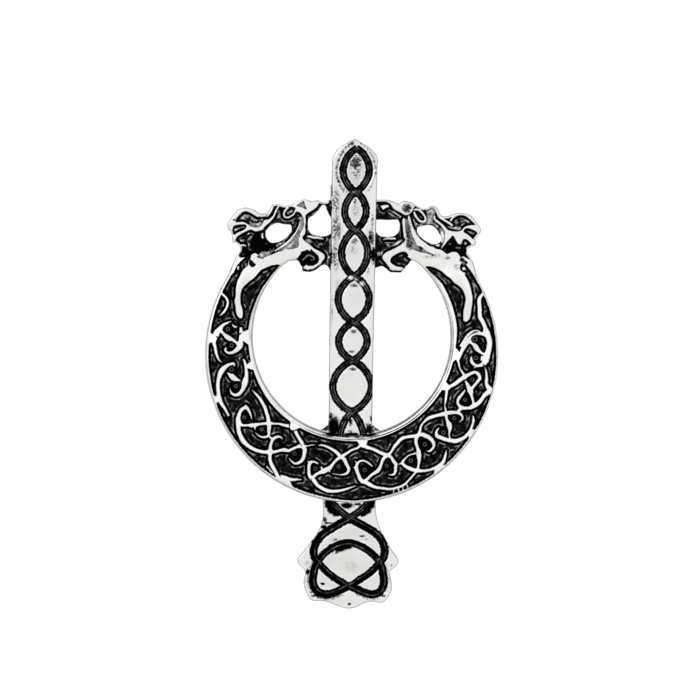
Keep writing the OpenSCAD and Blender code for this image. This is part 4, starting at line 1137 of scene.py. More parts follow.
# The clean lip that an eye keeps, and the stains that are strong enough to cover it. At most this much of the
# mark "pressed" is left on the walls and the back.
EYE_LIP = (0.16 * MM, 0.34 * MM)
STRONG_STAIN = (0.65, 0.9)
AT_BACK = 0.25

broken = add(press, NOISE, {"Vector": spot, "Scale": 1 / (CREASE_GRAIN * MM), "Detail": 2.0})
centred_wander = add(press, MATH, (away["Polished"], 0.5 * CREASE_WANDER * MM), **MINUS)
wander = add(press, MATH, (broken, CREASE_WANDER * MM, centred_wander), **TIMES_PLUS)
crease_highlight = add(press, MATH, (add(press, RANGE, (wander, *CREASE_RISE), **SOFT),
                           add(press, RANGE, (wander, *CREASE_FALL, 1.0, 0.0), **SOFT)), **TIMES)
lit = add(press, MATH, (clear, add(press, RANGE, (patchy, *CREASE_PATCHES), **SOFT)), **TIMES)
crease_highlight = add(press, MATH, (crease_highlight, lit), **TIMES)
pillow_sheen = add(press, MATH, (swell, add(press, RANGE, (grain, *PILLOW_SHEEN), **SOFT)), **TIMES)
# Each grey lightens the black: wear with painted glints, the pillow's painted sheen, the crease's highlight.
black = below
for grey in (add(press, MATH, (brushed_and_glint, feed["Brush"]), **TIMES), pillow_sheen,
             add(press, MATH, (crease_highlight, CREASE_HIGHLIGHT), **TIMES)):
    black = add(press, MATH, (black, add(press, MATH, (1.0, grey), **MINUS)), **TIMES)
black = add(press, MATH, (held, black), **TIMES)

# Stains and painted shade marked on the vertices, kept off an eye's clean lip unless they are strong.
stain = add(press, "GeometryNodeInputNamedAttribute", {"Name": "stain"}, **NUMBER)
lip = add(press, MATH, (add(press, RANGE, (from_sunk, *EYE_LIP), **SOFT),
                        add(press, RANGE, (stain, *STRONG_STAIN), **SOFT)), **LARGER)
dirt_and_shade = add(press, MATH, (add(press, MATH, (stain, 0.0), **LARGER), lip), **TIMES)
dirt_and_shade = add(press, MATH, (dirt_and_shade, add(press, MATH, (stain, 0.0), **SMALLER)), **PLUS)
dirt_and_shade = add(press, MATH, (held, dirt_and_shade), **TIMES)

marked = moved
for name, number in (("stain", dirt_and_shade), ("patina", black)):
    marked = add(press, "GeometryNodeStoreNamedAttribute",
                 {"Geometry": marked, "Name": name, "Value": number}, domain="POINT", **NUMBER)
real = add(press, "GeometryNodeRealizeInstances", {"Geometry": marked})
dressed = add(press, "GeometryNodeSetMaterial", {"Geometry": real, "Material": feed["Silver"]})
at_back = add(press, MATH, (held, AT_BACK), operation="LESS_THAN")
dressed = add(press, "GeometryNodeSetMaterial", {"Geometry": dressed, "Selection": at_back,
                                                 "Material": feed["Skin"]})
add(press, "NodeGroupOutput", {"Geometry": dressed})
print("press: %d nodes in all" % len(press.nodes))

# %% [markdown]
# The bar is the second plate. It runs below the ring, from its point at the top to the fan-shaped foot. It
# was cut by hand too: its sides aren't quite parallel, and each lobe of the foot is its own, so the outline
# is drawn.

# %% Outline of the bar
BAR = [
    (.5, 34.9), (-.9, 34.25), (-2, 33.5), (-2.6, 32.7), (-2.88, 32), (-2.95, 30), (-3.05, 25), (-3.1, 20),
    (-3.2, 14), (-3.3, 8), (-3.4, 0), (-3.45, -6.9), (-3.75, -7.7), (-4.3, -8.2), (-5, -8.6), (-4.5, -10),
    (-4.3, -12), (-4.3, -16), (-4.3, -19), (-4.3, -21), (-4.7, -22.8), (-5.8, -24.6), (-7, -26.2),
    (-8, -27.4), (-8, -28.2), (-7.3, -28.9), (-6.9, -29.5), (-7.05, -30.2), (-7.15, -31.3), (-6.8, -32.4),
    (-6, -33.7), (-4, -33.85), (-2.7, -34.3), (-1.5, -34.75), (-.6, -34.95), (.5, -34.8), (2, -34.1),
    (3, -33.9), (4.3, -34.1), (5, -33.8), (5.9, -32.4), (6, -31.3), (5.8, -30), (5.7, -29.4), (6.3, -28.9),
    (6.95, -28.2), (6.8, -27.3), (6, -26.2), (4.9, -24.3), (4.2, -22.8), (3.7, -21), (3.6, -19), (3.7, -16),
    (3.75, -12), (4, -10), (4.6, -8.8), (3.9, -8.2), (3.35, -7.7), (3.1, -7), (3.2, 0), (3.35, 8),
    (3.5, 14), (3.62, 20), (3.75, 25), (3.85, 30), (3.92, 32), (3.5, 32.8), (2.6, 33.75), (1.6, 34.3),
]
bar_outline = rounded(BAR)
bar_face = plan("bar face", [bar_outline], [], 0.5)
print("bar outline: %d places, rounded to %d" % (len(BAR), len(bar_outline)))

# %% [markdown]
# Two sunk cords run down the bar and change sides at each crossing, so they form a chain of pointed ovals.
# This part does follow a rule, a sine between two crossings, and the chart only says where each crossing
# lies and how wide the oval is. Below the ring the cords cross once more, and then loop round the foot on
# drawn paths.

# %% Cords of the bar
# Height of each oval's upper crossing, and its half width. CHAIN_END is the last crossing.
OVALS = [
    (33.5, 1.95), (27.02, 1.6), (21.37, 1.95), (14.47, 2.32), (7.67, 2.12), (1.97, 2.87),
]
CHAIN_END = -5.7
OVAL_STEPS = 12
CORD_STEP = 0.2
# A power below 1 makes the sine's ovals fuller. The chain stands at this x at height 0, and leans by a hair.
FULLNESS = 0.72
CHAIN_X = 0.1
CHAIN_LEAN = 0.0195
LOW_CORDS = [
    [(0, -5.7), (-.75, -6.6), (-1.3, -7.6), (-1.65, -8.8), (-1.9, -10), (-2.6, -13), (-3.3, -17),
     (-3.2, -18.6), (-2.6, -19.5), (-1.6, -20.5), (-.4, -21.45)],
    [(0, -5.7), (.75, -6.5), (1.3, -7.5), (1.7, -8.7), (1.9, -10), (2.3, -13), (2.8, -17), (2.75, -18.6),
     (2.1, -19.6), (1, -20.6), (-.4, -21.45)],
]
FOOT_CORDS = [
    [(-.4, -21.5), (-2.3, -22.6), (-4.3, -23.9), (-5.3, -25.2), (-5.65, -26.4), (-5.4, -27.5), (-5, -27.9),
     (-5.4, -28.7), (-5.6, -29.5), (-5.75, -31), (-5.2, -32.2), (-4, -32.8), (-2.5, -32.5), (-.35, -31.5)],
    [(-.4, -21.5), (1.6, -22.5), (3.7, -23.8), (4.6, -25), (4.95, -26.3), (4.6, -27.6), (4.1, -27.9),
     (4.5, -28.8), (4.65, -29.5), (4.8, -31), (4.3, -32.3), (3.1, -32.8), (1.6, -32.4), (-.3, -31.5)],
    [(-5, -27.9), (-3.9, -26.6), (-2.2, -25.5), (-.5, -25.1), (1.3, -25.6), (3, -26.7), (4.1, -27.9)],
    [(-5, -28), (-3.5, -29.6), (-1.8, -30.8), (-.35, -31.5), (1.2, -30.6), (2.8, -29.5), (4.1, -28.2)],
]


def strand(side):
    """One strand of the chain, which changes sides at each crossing."""
    places = []
    crossings = [top for top, _ in OVALS] + [CHAIN_END]
    for i, (top, half) in enumerate(OVALS):
        for k in range(OVAL_STEPS):
            t = k / OVAL_STEPS
            y = lerp(top, crossings[i + 1], t)
            swing = side * (-1) ** i * half * math.sin(math.pi * t) ** FULLNESS
            places.append((CHAIN_X + CHAIN_LEAN * y + swing, y))
    return places + [(0.0, CHAIN_END)]


cords = [rounded(line, CORD_STEP, closed=False) for line in [strand(-1), strand(1)] + LOW_CORDS + FOOT_CORDS]
print("cords: %d, places on them: %d" % (len(cords), sum(len(line) for line in cords)))

# %% [markdown]
# Each cord is a groove with one or two fine ridges left standing in it. The press can make both from plans:
# the grooves are strips along the cords that sink the face, and the ridges are narrow strips beside their
# middle that count as worn, so they stand up and are greyed, partly as wear and partly as a painted
# highlight.
# Carving them with a bevelled curve would need a boolean for each crossing.

# %% Plate of the bar
# Widths of the eight cords, and the sides on which a fine ridge runs along each.
CORD_WIDTHS = [1.13, 1.13, 1.13, 1.13, 1.25, 1.25, 1.13, 1.13]
RIDGE_SIDES = [(-1, 1), (-1, 1), (-1, 1), (-1, 1), (1,), (1,), (-1,), (1,)]
# Width of a ridge, its distance from the cord's middle, and how much wider a groove is cut than charted.
RIDGE_WIDTH = 0.07
RIDGE_AWAY = 0.17
GROOVE_WIDEN = 0.04
# Thickness of the bar, and the spacing of its honeycomb.
BAR_T = 2.2
BAR_SPACING = 0.14
# The bar's face is let down below the ring's band, so that it can't come through the recesses.
LET_DOWN = 0.6
BAND_COVER = (inner_at(0) + 0.9, RING_R - 0.15)


def beside(line, distance):
    """An open line moved to its left by a distance."""
    moved = []
    for i, (x, y) in enumerate(line):
        ahead = Vector(line[min(i + 1, len(line) - 1)]) - Vector(line[max(i - 1, 0)])
        ahead.normalize()
        moved.append((x - ahead.y * distance, y + ahead.x * distance))
    return moved


def bar_height(x, y):
    """Height of the bar's face."""
    covered = y < 0 and BAND_COVER[0] < math.hypot(x, RING_Y - y) < BAND_COVER[1]
    return BACK + BAR_T - (LET_DOWN if covered else 0.0)


cord_lines = [[(x, y, width) for x, y in line[::2]] for line, width in zip(cords, CORD_WIDTHS)]
ridge_lines = [[(x, y, RIDGE_WIDTH) for x, y in beside(line[::2], side * RIDGE_AWAY)]
               for line, sides in zip(cords, RIDGE_SIDES) for side in sides]
cord_top = plan("cord grooves", [], cord_lines, GROOVE_WIDEN)
cord_foot = plan("cord feet", [], cord_lines, GROOVE_WIDEN - 2 * SLOPE)
cord_ridges = plan("cord ridges", [], ridge_lines, 0)
bar = plate("bar_and_foot", [bar_outline], [cord_top.data, cord_foot.data, cord_ridges.data], BAR_SPACING,
            bar_height, BACK)
print("bar plate: %d faces" % len(bar.data.polygons))

# %% [markdown]
# On the real brooch the bath has greyed parts of the polished face too: panels within the ovals, blots at
# the crossings, and black that has crept out of the grooves. Other ovals are painted shade, where the bar
# runs under the ring and out below it, and the ring's inner rim is darker where it meets the bar. A noise
# alone looks dusty, so the blots are given one by one as soft ovals, and the finish breaks up their edges
# later.

# %% Stains and painted shade of the bar and the ring
# Each stain or painted shade: x, y, half width, half height, and how grey. A minus is worn bright.
BAR_STAINS_AND_SHADE = [
    (.6, 31.35, .85, 1.15, .68), (.7, 29.8, .8, .9, .38), (3.3, 31.4, .25, .9, .4),
    (.52, 25.65, .34, .42, .66), (.55, 24.4, .6, 1.2, .27), (.4, 19.7, .5, .5, .6), (.4, 18.4, .8, 1, .25),
    (.35, 13.15, .6, .26, .64), (.3, 6.3, .5, .3, .66), (.05, 3.25, .4, .25, .65),
    (.15, .72, .55, .25, .65), (-.2, -7, .35, .7, .9), (-.25, -8.6, .45, .3, .4), (-3, 27.3, .16, .9, 1.1),
    (-2.35, 25.5, .7, 2.2, .42), (-2.3, 21.5, .75, 2.4, .46), (-2.35, 17.5, .7, 2, .5),
    (-3.05, 17.6, .15, 1.4, 1.1), (-3, 24.9, .1, .8, .8), (-2.9, 10, .15, 3.5, .33),
    (-1.9, 13.2, .5, .8, .25), (2.85, 20, .45, 1.2, .82), (3.2, 17.7, .36, 1.2, 1.15),
    (3.1, 22.6, .2, 1.6, .42), (2.4, 15.6, .3, .8, .35), (2.9, 12, .15, 2, .25), (-.15, 14.3, .35, .3, -.8),
    (.6, 13.9, .3, .25, -.6), (1.5, 13.4, .4, .35, -.7), (.35, 27.05, .3, .15, -.35),
    # From here to the oval at y -19.6 most are painted shade, where the bar runs under the ring and out below
    # it.
    (-2.65, -7.9, .9, 1.4, 1.2), (-3.1, -6.3, .3, .5, .8), (2.6, -8.3, .75, .9, .95),
    (2.9, -6.6, .25, .4, .7), (-3.9, -8.1, .8, .4, .8), (3.8, -8.2, .7, .35, .7), (0, -9, 1.6, .25, 1.1),
    (-3.35, -19.2, .6, .9, 1.5), (-2.9, -20.2, .65, .55, 1.5), (-2.2, -20.8, .6, .35, 1.5),
    (2.9, -19.1, .55, .9, 1.5), (2.3, -20.2, .6, .55, 1.5), (1.55, -20.85, .6, .35, 1.5),
    (-.75, -19.6, .85, .4, 1.3), (-5.95, -29.7, .22, .7, 1.1), (-6.1, -31.5, .18, .9, 1),
    (-5.3, -32.95, .7, .2, 1.1), (5.12, -31.2, .2, 1.1, 1), (4.5, -33, .5, .18, 1), (-5.85, -25, .2, .6, 1),
    (5.3, -25.9, .18, .6, .9), (-3.4, -22.2, .7, .15, .9), (4, -27.6, .3, .25, -.35),
    (-1.9, -26.1, .8, .32, 1.4), (-.8, -25.8, .9, .26, 1.4), (-2.4, -24.7, .9, .3, .4),
    (1.05, -19.4, .6, .2, 1), (-4, -21.7, .3, .4, .8), (-4.1, -22.8, .4, .3, 1.2),
    (-6.5, -29.4, .3, .4, 1.2), (-4.6, -33, 1, .2, 1.2), (6.2, -29.6, .15, .3, .8),
    (-3.2, -25.4, .6, .35, .35), (-2.3, -24.7, .5, .25, .35), (1.6, -24.1, .5, .18, .6),
    (2.2, -24.6, .2, .1, .5), (-2.5, -26.6, .6, .15, .6), (-1, -26, .8, .15, .5), (2.4, -30.1, .6, .2, .4),
    (-6.6, -28.1, .45, .4, .3), (6, -28.5, .3, .3, .35), (-4.3, -31.2, .3, .2, 1.2),
    (-.35, -34.2, .25, .15, 1.1), (.1, -28.6, 1.6, 1.2, .2),
]
RING_GREY_OVALS = [
    (8.22, 24.57, .66, .66, .74), (8.45, 20.9, .36, 1.6, .76), (8.7, 19.4, .6, .9, .78),
    (-7.5, 25.1, .7, .6, -.5), (13.45, 20.3, .2, .8, -.7), (12.9, 19.1, .5, .2, -.6),
    # The ovals from (-2.6, -8.95) to (2, -9.6) darken the ring's inner rim where it meets the bar.
    (-8.3, 19.3, .4, .5, .62), (-2.6, -8.95, 1.4, .4, 1.1), (-1, -9.25, 1.2, .25, .75),
    (1.2, -9.35, 1, .3, .65), (2.6, -9, 1.1, .4, 1.1), (-3.9, -8.6, .7, .2, .5), (4, -8.5, .7, .2, .45),
    (2, -9.6, .9, .3, .35), (11.5, 17.35, 1, .25, .3), (12.6, 17.6, .6, .3, .35), (14.2, 17.2, .6, .3, .35),
    (15.6, 15.9, .4, .5, .35),
]
print("stains: %d on the bar, %d on the ring" % (len(BAR_STAINS_AND_SHADE), len(RING_GREY_OVALS)))

# %% [markdown]
# Some stains follow a cord: a grey halo stands off the first oval, wider on its left, and the black has
# crept over the outer edges of the foot's two loops. Those run along the cords that are there already. A
# soft grey also changes with the height on the bar, in the panels more than beside them.

# %% Stains along the cords
# Each row: which cord, how far to its left, its first and last place and every how many, and then each
# stain's half width, half height and greyness.
ALONG_CORDS = [
    (0, -0.98, 0, 40, 2, 0.18, 0.4, 0.62), (1, 0.98, 0, 40, 2, 0.12, 0.4, 0.44),
    (4, -0.62, 48, -8, 1, 0.24, 0.24, 0.78), (5, 0.62, 48, -8, 1, 0.2, 0.2, 0.74),
]
# Heights on the bar, and how grey the panels and the face beside them are there.
PANEL_GREY = ([-20, -6, 12, 18, 25, 29], [0.13, 0.05, 0.07, 0.13, 0.17, 0.24])
FLAT_GREY = ([-20, -6, 10, 16], [0.06, 0.02, 0.0, 0.05])
# A soft oval ends at this many times its half width. The greyness starts this far from an edge, and is full
# after this much more.
SOFT_REACH = 1.5
GREY_START = 0.3
GREY_RISE = 0.25


def flat_places(thing):
    """x and y of each vertex, in millimetres."""
    at = np.zeros(len(thing.data.vertices) * 3)
    thing.data.vertices.foreach_get("co", at)
    x, y, _ = at.reshape(-1, 3).T / MM
    return x, y


def stained_and_shaded(thing, base, stains):
    """Marks how grey the polished face is: a base value, and soft ovals of stain and of painted shade."""
    x, y = flat_places(thing)
    edge = np.zeros(len(x))
    thing.data.attributes["edge"].data.foreach_get("value", edge)
    stain = base * np.clip((edge - GREY_START) / GREY_RISE, 0, 1)
    for cx, cy, rx, ry, amount in stains:
        touch = amount * np.clip(SOFT_REACH - np.hypot((x - cx) / rx, (y - cy) / ry), 0, 1)
        stain = np.where(touch > 0, np.maximum(stain, touch), np.where(touch < 0, touch, stain))
    mark(thing, "stain", stain)


along = [(x, y, rx, ry, amount) for cord, away_by, first, last, every, rx, ry, amount in ALONG_CORDS
         for x, y in beside(cords[cord], away_by)[first:last:every]]
x, y = flat_places(bar)
in_panel = inside(np.column_stack((x, y)), [cords[i] + cords[i + 1][::-1] for i in (0, 2, 4)])
bar_grey = np.where(in_panel, np.interp(y, *PANEL_GREY), np.interp(y, *FLAT_GREY))
stained_and_shaded(bar, bar_grey, BAR_STAINS_AND_SHADE + along)
stained_and_shaded(ring, 0.0, RING_GREY_OVALS)
print("stains along the cords: %d, places in panels: %d" % (len(along), in_panel.sum()))

# %% [markdown]
# The opening's edge has a bevel that mirrors the dark room at some angles and not at others, with a fine
# line beside it. The lamps of this scene can't know the photographer's room, so the two are marked as a
# greyness that changes round the ring. It is laid on the metal and stays there from every side.

# %% Bevel of the opening and its painted reflection
# Degrees, how grey the bevel's painted reflection is there, and how grey the line.
BEVEL_REFLECTION = [
    (-180, .2, .4), (-110, .1, .4), (-90, .05, .1), (-40, .22, .2), (-15, .35, .65), (10, .35, .6),
    (20, .4, .8), (60, .38, .7), (90, .3, .6), (110, .15, .4), (180, .2, .3),
]
# Within this angle and depth a place belongs to the inner rim. Elsewhere an edge gets this much painted
# reflection.
RIM_REACH = 143
RIM_DEPTH = 2
PLAIN_BEVEL = 0.15

x, y = flat_places(ring)
turn = np.degrees(np.arctan2(x, RING_Y - y))
start = np.array([inner_at(a) for a in turn])
depth = np.hypot(x, y - RING_Y) - start
in_band = (abs(turn) < RIM_REACH) & (depth < RIM_DEPTH)
angles, bevel_greys, line_greys = zip(*BEVEL_REFLECTION)
mark(ring, "across", np.where(in_band, depth / (CHART_R - start), 1))
mark(ring, "bevel_reflection", np.where(in_band, np.interp(turn, angles, bevel_greys), PLAIN_BEVEL))
mark(ring, "line", np.interp(turn, angles, line_greys) * in_band)
mark(bar, "bevel_reflection", np.full(len(bar.data.vertices), PLAIN_BEVEL))
print("places on the inner rim:", in_band.sum())

# %% [markdown]
# A finish starts from a colour as a maker reads it off a screen, and from an empty tree. Blender counts
# with linear colours, so one function turns the usual hex codes into them. Typing linear numbers would work
# too, but nobody can read those.

# %% Colours and materials
def linear(code):
    """Linear red, green, blue and alpha of an sRGB hex colour."""
    parts = [int(code[i:i + 2], 16) / 255 for i in (1, 3, 5)]
    return tuple(c / 12.92 if c <= 0.04045 else ((c + 0.055) / 1.055) ** 2.4 for c in parts) + (1.0,)


def new_material(name):
    """A material with an empty tree."""
    material = bpy.data.materials.new(name)
    material.use_nodes = True
    material.node_tree.nodes.clear()
    return material


print("half grey in linear light: %.3f" % linear("#808080")[0])

# %% [markdown]
# The finish is silver plate that the wheel has buffed, over black oxide that stays in the recesses.
# Polished silver shows bright and almost without colour, with soft reflections. The oxide is a dull black
# film on the same metal, so both are one metallic shader, and the number that the press has written runs
# its colour and roughness from one to the other. Stains and painted shade, the bevel's painted reflection,
# the painted shade at every edge's brink, and the line are added to that number here.

# %% Silver: what lies on the metal
# Grain of the specks in the black, of the film's clouds, and of the crumbled edge of a stain, in millimetres.
SPECK_GRAIN = 0.35
CLOUD_GRAIN = 2.5
STAIN_GRAIN = 0.4
# Share of the way across at which the fine line beside the bevel lies.
LINE_AT = 0.068
# Soft steps: from, to, and the two values there if they aren't 0 and 1.
CRUMBS = (0.38, 0.6, -0.3, 0.22)
SHOWS = (0.15, 0.4)
COVERS = (0.55, 0.75, 0.0, 0.6)
BEVEL_FADES = (0.34, 0.48, 1.0, 0.0)
BRINK_SHADE_FADES = (0.06, 0.22, 0.36, 0.0)
LINE_FADES = (0.005, 0.014, 1.0, 0.0)
LINE_BREAKS = (0.35, 0.55, 0.7, 1.0)


silver = new_material("Antique silver plate, buffed over black oxide")
tree = silver.node_tree
where = add(tree, "ShaderNodeTexCoord").outputs["Object"]
patina, stain, edge, across, bevel_reflection, line = (
    add(tree, "ShaderNodeAttribute", attribute_name=name).outputs["Fac"]
    for name in ("patina", "stain", "edge", "across", "bevel_reflection", "line"))
speck = add(tree, NOISE, {"Vector": where, "Scale": 1 / (SPECK_GRAIN * MM), "Detail": 3.0})
cloud = add(tree, NOISE, {"Vector": where, "Scale": 1 / (CLOUD_GRAIN * MM), "Detail": 2.0})
crumb = add(tree, NOISE, {"Vector": where, "Scale": 1 / (STAIN_GRAIN * MM), "Detail": 4.0, "Roughness": 0.7})

# A faint stain or painted shade is broken up by the crumbs, and a strong one much less.
crumb = add(tree, RANGE, (crumb, *CRUMBS), **SOFT)
crumbling = add(tree, MATH, (add(tree, RANGE, (stain, *SHOWS), **SOFT),
                             add(tree, RANGE, (stain, *COVERS), **SOFT)), **MINUS)
blots_and_shade = add(tree, MATH, (crumb, crumbling, stain), **TIMES_PLUS)
# The bevel's painted reflection greys only the rounded edge, and a painted shade makes the brink of every
# edge a little grey.
bevel_reflection = add(tree, MATH, (bevel_reflection, add(tree, RANGE, (edge, *BEVEL_FADES), **SOFT)), **TIMES)
brink_shade = add(tree, RANGE, (edge, *BRINK_SHADE_FADES), **SOFT)
beside_line = add(tree, MATH, (add(tree, MATH, (across, LINE_AT), **MINUS),), operation="ABSOLUTE")
line = add(tree, MATH, (line, add(tree, RANGE, (beside_line, *LINE_FADES), **SOFT)), **TIMES)
line = add(tree, MATH, (line, add(tree, RANGE, (cloud, *LINE_BREAKS), **SOFT)), **TIMES)
greyed = add(tree, MATH, (add(tree, MATH, (bevel_reflection, brink_shade), **LARGER), line), **LARGER)
greyed = add(tree, MATH, (add(tree, MATH, (patina, blots_and_shade), **LARGER), greyed), **LARGER)
tarnish_and_painted_light = add(tree, MATH, (greyed, add(tree, MATH, (blots_and_shade, 0.0), **SMALLER)), **PLUS)
print("silver: %d nodes for what lies on the metal" % len(tree.nodes))

# %% [markdown]
# The film isn't even. It lies in clouds, and the cast ground shows through it as specks, more in the black
# than on bright metal. A colour ramp over that one number holds polished silver at one end, the oxide at
# the other, and between them the greys of a half-buffed film and of the painted shade, highlights and
# reflections, which mixing two shaders could only give as a straight blend.

# %% Silver: from polished to black
# How much the clouds change the film, and how the specks grow from bright metal into the black.
CLOUDS = 0.25
SPECKS = (0.1, 0.45, 0.1, 0.32)
# Colours of the bright metal, of the oxide, and of the film between them.
BRIGHT = "#f3f2f0"
OXIDE = "#030303"
GREYS = ((0.2, "#e2e1df"), (0.42, "#9b9b9c"), (0.62, "#5c5c5e"), (0.8, "#242426"), (0.9, "#0e0e0f"))
# Roughness from the bright metal to the oxide, and the height of the specks in millimetres.
ROUGH = (0.2, 0.9, 0.16, 0.36)
SPECK_HEIGHT = 0.02

tarnish_and_painted_light = add(tree, MATH, (add(tree, MATH, (cloud, 0.5), **MINUS), CLOUDS, tarnish_and_painted_light), **TIMES_PLUS)
specks = add(tree, RANGE, (tarnish_and_painted_light, *SPECKS), **SOFT)
tarnish_and_painted_light = add(tree, MATH, (add(tree, MATH, (speck, 0.5), **MINUS), specks, tarnish_and_painted_light), **TIMES_PLUS)
colours = add(tree, "ShaderNodeValToRGB", {"Fac": tarnish_and_painted_light})
stops = colours.color_ramp.elements
stops[0].color = linear(BRIGHT)
stops[1].color = linear(OXIDE)
for place, code in GREYS:
    stops.new(place).color = linear(code)
rough = add(tree, RANGE, (tarnish_and_painted_light, *ROUGH), **SOFT)
bump = add(tree, "ShaderNodeBump", {"Strength": 0.35, "Distance": SPECK_HEIGHT * MM, "Height": speck})
shader = add(tree, "ShaderNodeBsdfPrincipled", {"Base Color": colours, "Metallic": 1.0, "Roughness": rough,
                                                "Normal": bump})
add(tree, "ShaderNodeOutputMaterial", {"Surface": shader})
print("silver: %d nodes, %d colours" % (len(tree.nodes), len(stops)))

# %% [markdown]
# The wheel never reaches the back, so the plating keeps the satin of the cast metal there: greyer, and
# without a sharp reflection. That is the same on the whole back, so plain numbers sit on the shader, and
# only a fine bump gives it grain.

# %% Satin back
# Grain and height of the satin, in millimetres.
SATIN_GRAIN = 0.3
SATIN_HEIGHT = 0.03

skin = new_material("Silver plate on the cast back, satin")
tree = skin.node_tree
where = add(tree, "ShaderNodeTexCoord").outputs["Object"]
satin = add(tree, NOISE, {"Vector": where, "Scale": 1 / (SATIN_GRAIN * MM), "Detail": 3.0})
bump = add(tree, "ShaderNodeBump", {"Strength": 0.4, "Distance": SATIN_HEIGHT * MM, "Height": satin})
shader = add(tree, "ShaderNodeBsdfPrincipled", {"Base Color": linear("#b5b4b1"), "Metallic": 1.0,
                                                "Roughness": 0.42, "Normal": bump})
add(tree, "ShaderNodeOutputMaterial", {"Surface": shader})
print("satin back: %d nodes" % len(tree.nodes))

# %% [markdown]
# Both plates go through the same press. The ring's recesses are deeper and have a ground that swells, and
# the bar's grooves are plain. The plates then take the place of the casting that the CAD gave.

# %% Press and dress the plates
ring.data = grown(ring, press, Polished=polished, Worn=worn, Sunk=sunk, Silver=silver, Skin=skin,
                  Recess=0.55 * MM, Slope=SLOPE * MM, Pillow=0.3 * MM, Brush=0.5, Broken=0.8)
bar.data = grown(bar, press, Polished=bar_face, Worn=cord_ridges, Sunk=cord_foot, Silver=silver, Skin=skin,
                 Recess=0.4 * MM, Slope=SLOPE * MM, Pillow=0.0, Brush=0.4, Broken=0.35)
for thing in (ring, bar):
    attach(thing, "root")
    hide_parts("casting")
for helper in (polished, slope_foot, worn, sunk, bar_face, cord_top, cord_foot, cord_ridges):
    bpy.data.objects.remove(helper)
print("pressed: %d and %d faces" % (len(ring.data.polygons), len(bar.data.polygons)))

# %% [markdown]
# In the eye of nearly every knot sits a small cast ring. A maker would bend them of wire for the master.
# Twenty objects would do, but one ring that a tree copies to each charted place keeps them alike, as wire
# is.

# %% Seeds in the knots' eyes
# Radius of the ring's path and of its section, as shares of a seed's outer radius, and how it is stretched.
SEED_PATH = 0.72
SEED_ROUND = 0.24
SEED_STRETCH = (1, 1, 2.4)
# How far a seed lies below the polished face in millimetres, and how black it is.
SEED_DEPTH = 0.4
SEED_BLACK = 0.6
SEED_SIDES = 16
ROUND_SIDES = 6

seeds = new_tree("seeds on places", Geometry="Geometry", Sides="Int", Silver="Material")
feed = add(seeds, "NodeGroupInput").outputs
seed_path = add(seeds, "GeometryNodeCurvePrimitiveCircle", {"Resolution": feed["Sides"], "Radius": SEED_PATH})
section = add(seeds, "GeometryNodeCurvePrimitiveCircle", {"Resolution": ROUND_SIDES, "Radius": SEED_ROUND})
one = add(seeds, "GeometryNodeCurveToMesh", {"Curve": seed_path, "Profile Curve": section})
size = add(seeds, "GeometryNodeInputNamedAttribute", {"Name": "size"}, **NUMBER)
size = add(seeds, "ShaderNodeVectorMath", (size, SEED_STRETCH), **TIMES)
placed = add(seeds, "GeometryNodeInstanceOnPoints",
             {"Points": feed["Geometry"], "Instance": one, "Scale": size})
real = add(seeds, "GeometryNodeRealizeInstances", {"Geometry": placed})
dark = add(seeds, "GeometryNodeStoreNamedAttribute",
           {"Geometry": real, "Name": "patina", "Value": SEED_BLACK}, domain="POINT", **NUMBER)
smooth = add(seeds, "GeometryNodeSetShadeSmooth", {"Geometry": dark})
dressed = add(seeds, "GeometryNodeSetMaterial", {"Geometry": smooth, "Material": feed["Silver"]})
add(seeds, "NodeGroupOutput", {"Geometry": dressed})

seed_places = bpy.data.meshes.new("knot_seeds")
seed_z = [BACK + face_height(x, y) - SEED_DEPTH for x, y in knot_eyes]
seed_places.from_pydata([(x * MM, y * MM, z * MM) for (x, y), z in zip(knot_eyes, seed_z)], [], [])
knot_seeds = shown("knot_seeds", seed_places)
mark(knot_seeds, "size", [radius * MM for _, _, radius in SEEDS])
knot_seeds.data = grown(knot_seeds, seeds, Sides=SEED_SIDES, Silver=silver)
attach(knot_seeds, "root")
print("seeds: %d, %d faces" % (len(SEEDS), len(knot_seeds.data.polygons)))

# %% [markdown]
# Behind the bar sits a fitting of strip and wire, of the kind that is sold for brooches. It comes from the
# CAD as it is, and only gets its own metal. Nickelled steel is a little darker and warmer than the silver,
# and its drawn surface blurs reflections evenly, so it needs no pattern at all.

# %% Pin fitting
steel = new_material("Nickelled steel, drawn wire and strip")
tree = steel.node_tree
shader = add(tree, "ShaderNodeBsdfPrincipled", {"Base Color": linear("#b9b8b4"), "Metallic": 1.0,
                                                "Roughness": 0.3})
add(tree, "ShaderNodeOutputMaterial", {"Surface": shader})
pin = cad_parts["pin_fitting"]
pin.data.materials.clear()
pin.data.materials.append(steel)
print("pin fitting: %d faces" % len(pin.data.polygons))

# %% [markdown]
# The photo was taken on a white background that burns out. A sheet of paper that gives a little light does
# the same, and its matt surface takes no reflection of the brooch.

# %% White paper
# Half the sheet's side in metres, and how much light the paper gives.
SHEET = 1
PAPER_LIGHT = 0.92

paper = new_material("White paper")
tree = paper.node_tree
shader = add(tree, "ShaderNodeBsdfPrincipled", {"Base Color": linear("#8c8c8c"), "Roughness": 0.9,
                                                "Specular IOR Level": 0.0, "Emission Color": (1, 1, 1, 1),
                                                "Emission Strength": PAPER_LIGHT})
add(tree, "ShaderNodeOutputMaterial", {"Surface": shader})
sheet = bpy.data.meshes.new("paper sheet")
sheet.from_pydata([(-SHEET, -SHEET, 0), (SHEET, -SHEET, 0), (SHEET, SHEET, 0), (-SHEET, SHEET, 0)], [],
                  [(0, 1, 2, 3)])
sheet.materials.append(paper)
floor = shown("paper_sheet", sheet)
print("stage:", floor.name)

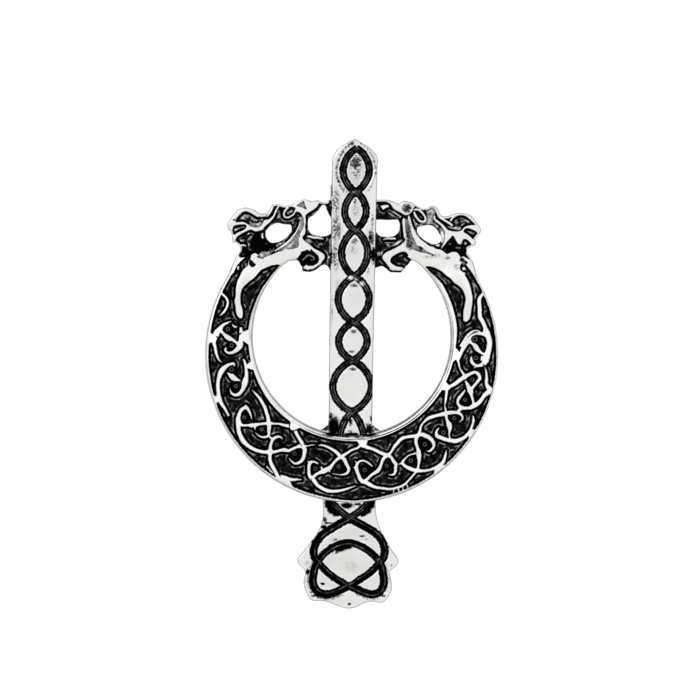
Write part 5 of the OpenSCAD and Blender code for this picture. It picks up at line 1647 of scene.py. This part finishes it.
# %% [markdown]
# Polished silver shows little but the room around it. In a photographer's light tent that is a bright dome,
# a little darker straight above, where the camera looks through, and dark below the table's edge. A world
# whose grey depends only on the height of the ray gives this without any lamp showing as a spot. One very
# soft lamp from the side adds a direction, so that the relief has a lit and a shaded side.

# %% Light tent and key lamp
# How bright the tent is at the horizon and in the gap for the camera, straight above. Between them: share of
# the way up, brightness.
HORIZON = 0.3
CAMERA_GAP = 0.91
TENT = ((0.3, 0.42), (0.55, 0.8), (0.75, 1.05), (0.955, 1.05), (0.985, 0.91))
# The lamp's strength, how wide it looks and how it is tilted, in degrees.
KEY_POWER = 0.2
KEY_WIDTH = 40
KEY_TILT = (-25, -30)

world = bpy.data.worlds.new("studio")
bpy.context.scene.world = world
world.use_nodes = True
tree = world.node_tree
tree.nodes.clear()
ray = add(tree, "ShaderNodeTexCoord").outputs["Generated"]
up = add(tree, "ShaderNodeSeparateXYZ", {"Vector": ray}).outputs["Z"]
shade = add(tree, "ShaderNodeValToRGB", {"Fac": up})
stops = shade.color_ramp.elements
stops[0].color = (HORIZON, HORIZON, HORIZON, 1)
stops[1].color = (CAMERA_GAP, CAMERA_GAP, CAMERA_GAP, 1)
for place, value in TENT:
    stops.new(place).color = (value, value, value, 1)
sky = add(tree, "ShaderNodeBackground", {"Color": shade, "Strength": 1.0})
add(tree, "ShaderNodeOutputWorld", {"Surface": sky})

lamp = bpy.data.lights.new("key", "SUN")
lamp.energy = KEY_POWER
lamp.angle = math.radians(KEY_WIDTH)
key = shown("key", lamp)
key.rotation_euler = (math.radians(KEY_TILT[0]), math.radians(KEY_TILT[1]), 0)
print("light tent: %d greys, key lamp: %.1f" % (len(stops), lamp.energy))

# %% [markdown]
# The camera looks straight down, as the photographer's did. A long lens from further away keeps the bar's
# sides parallel. The photo's height in millimetres at the face, and where its middle lies, come from the
# scale that the CAD was built to.

# %% Camera
LENS = 120
SENSOR = 36
# Side of the square that the photo shows, its middle, and the height at which it is measured, in millimetres.
SIDE = 104.03
MIDDLE = (-0.238, 3.53)
FACE_Z = 5.5

camera = bpy.data.cameras.new("camera")
camera.lens = LENS
camera.sensor_width = SENSOR
camera.clip_start = 0.01
camera.clip_end = 5
eye = shown("camera", camera)
eye.location = (MIDDLE[0] * MM, MIDDLE[1] * MM, (FACE_Z + SIDE * LENS / SENSOR) * MM)
bpy.context.scene.camera = eye
bpy.context.scene.view_settings.view_transform = "Standard"
print("camera: %.0f mm above the table" % (eye.location.z / MM))
